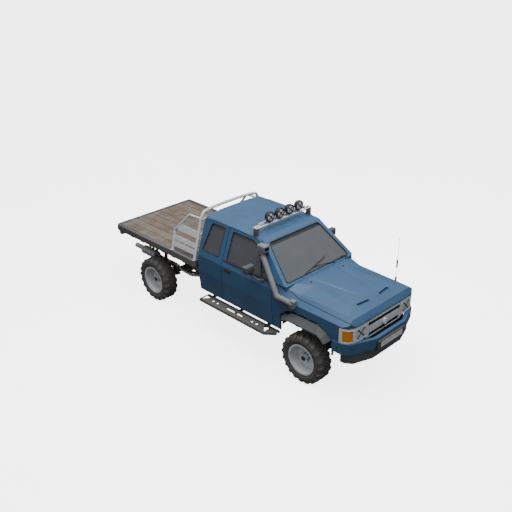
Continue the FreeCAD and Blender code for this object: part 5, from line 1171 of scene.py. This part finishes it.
class TRUCK_OT_snorkel_trim(PieceOperator):
    """Adds the snorkel's clamps, joints and the louvres in its head"""
    bl_idname = "truck.snorkel_trim"
    bl_label = "Snorkel trim"

    def make(self):
        trim = Shape("snorkel_trim")
        head_y = -0.895
        for number in range(5):
            z = 1.742 + number * 0.013
            trim.block((-0.744, head_y + 0.003, z), (-0.660, head_y + 0.010, z + 0.004), 0.001)
        trim.finish("black", "chassis", "dark_plastic")
        bands = Shape("snorkel_clamps")
        for centre, run in (((-0.716, -0.8285, 1.675), (0.01, 0.05, 0.10)),
                            ((-0.745, -0.985, 1.452), (0.10, 0.40, 0.48))):
            centre, run = Vector(centre), Vector(run).normalized()
            bands.lathe([(-0.012, 0.0425), (-0.012, 0.0450), (0.012, 0.0450), (0.012, 0.0425)], centre, run,
                        32)
        bands.finish("black", "chassis", "dark_plastic")


class TRUCK_OT_underbody(PieceOperator):
    """Adds spring bolts, differential covers and exhaust clamps"""
    bl_idname = "truck.underbody"
    bl_label = "Underbody"

    def make(self):
        straps = Shape("spring_bolts")
        for axle in (FRONT_AXLE_Y, REAR_AXLE_Y):
            for side in (-1, 1):
                for step in (-0.042, 0.042):
                    y = axle + step
                    x = side * 0.350
                    loop = [(x - 0.0365, y, 0.330), (x - 0.0365, y, 0.500), (x - 0.030, y, 0.5115),
                            (x + 0.030, y, 0.5115),
                            (x + 0.0365, y, 0.500), (x + 0.0365, y, 0.330)]
                    straps.tube(loop, 0.0055, 8)
                straps.block((x - 0.050, axle - 0.065, 0.325), (x + 0.050, axle + 0.065, 0.337), 0.003)
        straps.finish("bolt", "chassis", "chassis_steel")
        covers = Shape("axle_covers")
        for x, y, radius, way in ((0.0, REAR_AXLE_Y, 0.112, 1), (-0.215, FRONT_AXLE_Y, 0.095, -1)):
            centre = Vector((x, y + way * radius * 0.80, AXLE_HEIGHT))
            covers.lathe([(-0.02, radius * 0.78), (0.004, radius * 0.78), (0.010, radius * 0.66),
                          (0.034, radius * 0.45),
                          (0.040, 0.0)], centre, Y * way, 28, closed=False)
            for number in range(10):
                angle = math.pi / 5 * number
                spot = centre + Vector((math.cos(angle), 0, math.sin(angle))) * radius * 0.70
                covers.bolt(spot + Y * way * 0.004, Y * way, 0.006, 0.008)
        covers.finish("chassis", "chassis", "chassis_steel")
        clamps = Shape("exhaust_clamps")
        for y in (2.000, 2.320):
            clamps.lathe([(-0.010, 0.0765), (-0.010, 0.0795), (0.010, 0.0795), (0.010, 0.0765)],
                         (-0.495, y, 0.610), Y, 32)
        clamps.lathe([(-0.012, 0.0445), (-0.012, 0.0475), (0.012, 0.0475), (0.012, 0.0445)],
                     (-0.495, 2.360, 0.622), Y, 28)
        clamps.finish("exhaust", "chassis", "exhaust_metal")


class TRUCK_OT_aerial_trim(PieceOperator):
    """Winds the aerial's spring and sleeve"""
    bl_idname = "truck.aerial_trim"
    bl_label = "Aerial trim"

    def make(self):
        low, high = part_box("aerial")
        x, y = (low[0] + high[0]) / 2, (low[1] + high[1]) / 2
        trim = Shape("aerial_sleeve")
        coil = [(x + math.cos(angle) * 0.0125, y + math.sin(angle) * 0.0125,
                 1.222 + 0.048 * angle / (math.pi * 14))
                for angle in (math.pi / 5 * step for step in range(70))]
        trim.tube(coil, 0.0022, 6)
        trim.lathe([(0.0, 0.0115), (0.0, 0.013), (0.118, 0.013), (0.118, 0.0115)], (x, y, 1.426), Z, 16)
        trim.finish("black", "chassis", "dark_steel")


class TRUCK_OT_dash_trim(PieceOperator):
    """Adds gauges, vents, levers, pedals, visors and the inside mirror"""
    bl_idname = "truck.dash_trim"
    bl_label = "Dash trim"

    def make(self):
        trim = Shape("dash_trim")
        trim.block((-0.500, -1.010, 1.195), (-0.200, -0.900, 1.245), 0.018, steps=3)
        for x in (-0.62, -0.12, 0.12, 0.62):
            trim.block((x - 0.055, -0.912, 1.120), (x + 0.055, -0.900, 1.175), 0.006)
            for row in range(4):
                trim.block((x - 0.048, -0.902, 1.127 + row * 0.011),
                           (x + 0.048, -0.896, 1.131 + row * 0.011), 0.001)
        trim.block((-0.085, -0.906, 1.030), (0.085, -0.893, 1.105), 0.004)
        trim.block((0.230, -0.925, 1.010), (0.600, -0.912, 1.100), 0.008)
        trim.tube([(0.0, -0.620, 0.780), (-0.010, -0.600, 0.900), (-0.030, -0.560, 0.985)], 0.008, 8)
        trim.bar((-0.030, -0.560, 0.975), (-0.031, -0.556, 1.010), 0.020, 16)
        trim.tube([(0.07, -0.600, 0.780), (0.075, -0.590, 0.880), (0.080, -0.570, 0.930)], 0.006, 8)
        trim.bar((0.080, -0.570, 0.925), (0.081, -0.566, 0.950), 0.016, 14)
        trim.block((-0.035, -0.700, 0.742), (0.120, -0.520, 0.790), 0.015)
        for x in (-0.45, -0.35, -0.25):
            trim.tube([(x, -1.140, 0.990), (x, -1.080, 0.900), (x, -1.050, 0.850)], 0.006, 8)
            trim.block((x - 0.022, -1.062, 0.815), (x + 0.022, -1.050, 0.865), 0.004)
        trim.tube([(-0.395, -0.870, 1.150), (-0.470, -0.850, 1.170)], 0.006, 8)
        trim.tube([(-0.305, -0.870, 1.150), (-0.230, -0.850, 1.170)], 0.006, 8)
        trim.finish("trim", "chassis", "dark_plastic")
        mirror = Shape("inside_mirror")
        mirror.tube([(0.0, -0.760, 1.752), (0.0, -0.770, 1.715)], 0.006, 8)
        mirror.block((-0.110, -0.780, 1.668), (0.110, -0.762, 1.716), 0.008, steps=3)
        for x in (-0.350, 0.350):
            mirror.block((x - 0.170, -0.700, 1.735), (x + 0.170, -0.590, 1.751), 0.006)
        mirror.finish("trim", "chassis", "dark_plastic")


class TRUCK_OT_seats(PieceOperator):
    """Makes the seats: crowned cushions with sewn channels on steel bases"""
    bl_idname = "truck.seats"
    bl_label = "Seats"

    def make(self):
        for name, side in SIDES:
            x, y, floor = side * 0.350, -0.522, 0.740
            base = Shape("seat_base_" + name)
            for step in (-0.170, 0.170):
                base.block((x + step - 0.016, y + 0.040, floor + 0.0005),
                           (x + step + 0.016, y + 0.420, floor + 0.028), 0.004)
                for part in (0.070, 0.380):
                    base.block((x + step - 0.012, y + part - 0.018, floor + 0.020),
                               (x + step + 0.012, y + part + 0.018, floor + 0.135), 0.004)
            base.block((x - 0.185, y + 0.040, floor + 0.110), (x + 0.185, y + 0.425, floor + 0.132), 0.006)
            base.tube([(x - 0.060, y + 0.050, floor + 0.060), (x - 0.060, y + 0.004, floor + 0.060),
                       (x + 0.060, y + 0.004, floor + 0.060),
                       (x + 0.060, y + 0.050, floor + 0.060)], 0.006, 8)
            base.finish("black", "chassis", "dark_steel", replaces=("seats",) if side < 0 else ())
            lean = Matrix.Rotation(math.radians(-14), 4, "X")
            hinge = Vector((x, y + 0.440, floor + 0.190))
            parts = (
                ("cushion", Matrix.Translation((x, y + 0.250, floor + 0.190)), (0.236, 0.246, 0.060), 2, 3),
                ("back", Matrix.Translation(hinge) @ lean @ Matrix.Translation((0, 0, 0.290)),
                 (0.231, 0.056, 0.268), 1, 4),
                ("rest", Matrix.Translation(hinge) @ lean @ Matrix.Translation((0, 0.005, 0.635)),
                 (0.126, 0.045, 0.062), 1, 0),
            )
            for part, matrix, half, up, channels in parts:
                self.cushion("seat_%s_%s" % (part, name), matrix, half, up, channels)
            posts = Shape("head_rest_posts_" + name)
            for step in (-0.05, 0.05):
                posts.bar(hinge + lean @ Vector((step, 0.004, 0.540)),
                          hinge + lean @ Vector((step, 0.004, 0.590)), 0.006, 10)
            posts.finish("bolt", "chassis", "dark_steel")

    def cushion(self, name, matrix, half, up, channels):
        """A crowned cushion: its sides pull in between the corners and its channels are sewn down."""
        shape = Shape(name)
        bmesh.ops.create_cube(shape.bm, size=2.0)
        bmesh.ops.subdivide_edges(shape.bm, edges=shape.bm.edges[:], cuts=23, use_grid_fill=True)
        wide = 0 if up != 0 else 1
        for vert in shape.bm.verts:
            point = vert.co.copy()
            flat = [axis for axis in range(3) if axis != up]
            edge = max(abs(point[flat[0]]), abs(point[flat[1]]))
            crown = (1 - abs(point[flat[0]]) ** 2.6) * (1 - abs(point[flat[1]]) ** 2.6)
            thick = 0.62 + 0.38 * max(0.0, crown) ** 0.45
            groove = 1.0
            if channels and edge < 0.86:
                place = (point[wide] + 0.86) / 1.72 * (channels + 1)
                near = abs(place - round(place))
                groove = 1.0 - 0.16 * math.exp(-(near / 0.055) ** 2) * (0.5 < place < channels + 0.5)
            welt = 1.0 - 0.10 * math.exp(-((edge - 0.86) / 0.03) ** 2)
            moved = point.copy()
            moved[up] = point[up] * thick * (groove * welt if abs(point[up]) > 0.99 else 1.0)
            for axis, other in ((flat[0], flat[1]), (flat[1], flat[0])):
                pull = 1.0 - 0.035 * (1 - point[other] ** 2)
                round_in = 1.0 - 0.16 * abs(point[other]) ** 8
                belly = 1.0 - 0.10 * abs(point[up]) ** 3
                moved[axis] = point[axis] * pull * round_in * belly
            vert.co = matrix @ Vector([moved[axis] * half[axis] for axis in range(3)])
        piece = shape.finish("cloth", "chassis", "seat_cloth", smooth=60.0)


class TRUCK_OT_stage(PieceOperator):
    """Makes the pale floor, the soft studio light and the camera"""
    bl_idname = "truck.stage"
    bl_label = "Studio"

    def make(self):
        floor = bpy.data.meshes.new("studio_floor")
        floor.from_pydata([(-60, -60, 0), (60, -60, 0), (60, 60, 0), (-60, 60, 0)], [], [(0, 1, 2, 3)])
        made = Finish("pale studio floor", Roughness=1.0, Emission_Strength=4.0)
        tone = made.mix(made.noise(0.4, 2.0), (0.94, 0.94, 0.94), (0.97, 0.97, 0.97))
        made.set(Base_Color=tone, Emission_Color=tone)
        floor.materials.append(made.material)
        ground = bpy.data.objects.new("studio_floor", floor)
        ground.visible_diffuse = False
        ground.visible_glossy = False
        bpy.context.scene.collection.objects.link(ground)
        self.sky()
        light = bpy.data.lights.new("key_light", "AREA")
        light.energy = 520.0
        light.size = 5.0
        lamp = bpy.data.objects.new("key_light", light)
        lamp.location = (-1.0, -1.5, 8.0)
        lamp.rotation_euler = (Vector((0, 0, 0.8)) - lamp.location).to_track_quat("-Z", "Y").to_euler()
        bpy.context.scene.collection.objects.link(lamp)
        camera = bpy.data.cameras.new("camera")
        camera.lens = sizes().lens
        camera.sensor_width = 36.0
        camera.clip_end = 200.0
        holder = bpy.data.objects.new("camera", camera)
        azimuth, elevation = sizes().camera_azimuth, sizes().camera_elevation
        back = Vector((math.sin(azimuth) * math.cos(elevation), -math.cos(azimuth) * math.cos(elevation),
                       math.sin(elevation)))
        holder.location = sizes().camera_place
        holder.rotation_euler = (-back).to_track_quat("-Z", "Y").to_euler()
        bpy.context.scene.collection.objects.link(holder)
        bpy.context.scene.camera = holder

    def sky(self):
        """A soft white dome, bright overhead and dim near the ground."""
        world = bpy.data.worlds.new("studio")
        world.use_nodes = True
        tree = world.node_tree
        place = tree.nodes.new("ShaderNodeTexCoord")
        parts = tree.nodes.new("ShaderNodeSeparateXYZ")
        ramp = tree.nodes.new("ShaderNodeValToRGB")
        for stop, (at, level) in zip(ramp.color_ramp.elements, ((0.0, 0.10), (1.0, 1.0))):
            stop.position = at
            stop.color = (level, level, level, 1.0)
        middle = ramp.color_ramp.elements.new(0.45)
        middle.color = (0.42, 0.42, 0.43, 1.0)
        tree.links.new(place.outputs["Generated"], parts.inputs[0])
        tree.links.new(parts.outputs["Z"], ramp.inputs[0])
        tree.links.new(ramp.outputs["Color"], tree.nodes["Background"].inputs[0])
        tree.nodes["Background"].inputs[1].default_value = 1.25
        bpy.context.scene.world = world


OPERATORS = (
    TRUCK_OT_stage, TRUCK_OT_finishes, TRUCK_OT_tyres, TRUCK_OT_wheel_trim, TRUCK_OT_window_seals,
    TRUCK_OT_wipers,
    TRUCK_OT_bonnet_trim, TRUCK_OT_front_lamps, TRUCK_OT_grille_trim, TRUCK_OT_roof_lamps, TRUCK_OT_roof_bar,
    TRUCK_OT_door_furniture,
    TRUCK_OT_body_trim, TRUCK_OT_deck_bolts, TRUCK_OT_snorkel_trim, TRUCK_OT_underbody, TRUCK_OT_aerial_trim,
    TRUCK_OT_dash_trim, TRUCK_OT_seats,
)


class TRUCK_PT_panel(bpy.types.Panel):
    """Lists the truck's pieces, sizes and colours"""
    bl_label = "Flatbed Truck"
    bl_idname = "TRUCK_PT_panel"
    bl_space_type = "VIEW_3D"
    bl_region_type = "UI"
    bl_category = "Truck"

    def draw(self, context):
        layout = self.layout
        for group in (context.scene.truck_sizes, context.scene.truck_colours):
            column = layout.column(align=True)
            for name in group.bl_rna.properties.keys():
                if name not in ("rna_type", "name"):
                    column.prop(group, name)
        for operator in OPERATORS:
            layout.operator(operator.bl_idname)


CLASSES = (TruckColours, TruckSizes, *OPERATORS, TRUCK_PT_panel)


def register():
    for made in CLASSES:
        bpy.utils.register_class(made)
    bpy.types.Scene.truck_colours = bpy.props.PointerProperty(type=TruckColours)
    bpy.types.Scene.truck_sizes = bpy.props.PointerProperty(type=TruckSizes)


def unregister():
    del bpy.types.Scene.truck_sizes
    del bpy.types.Scene.truck_colours
    for made in reversed(CLASSES):
        bpy.utils.unregister_class(made)


def main():
    register()
    for operator in OPERATORS:
        group, name = operator.bl_idname.split(".")
        getattr(getattr(bpy.ops, group), name)()
    bpy.context.view_layer.update()


if __name__ == "__main__":
    main()
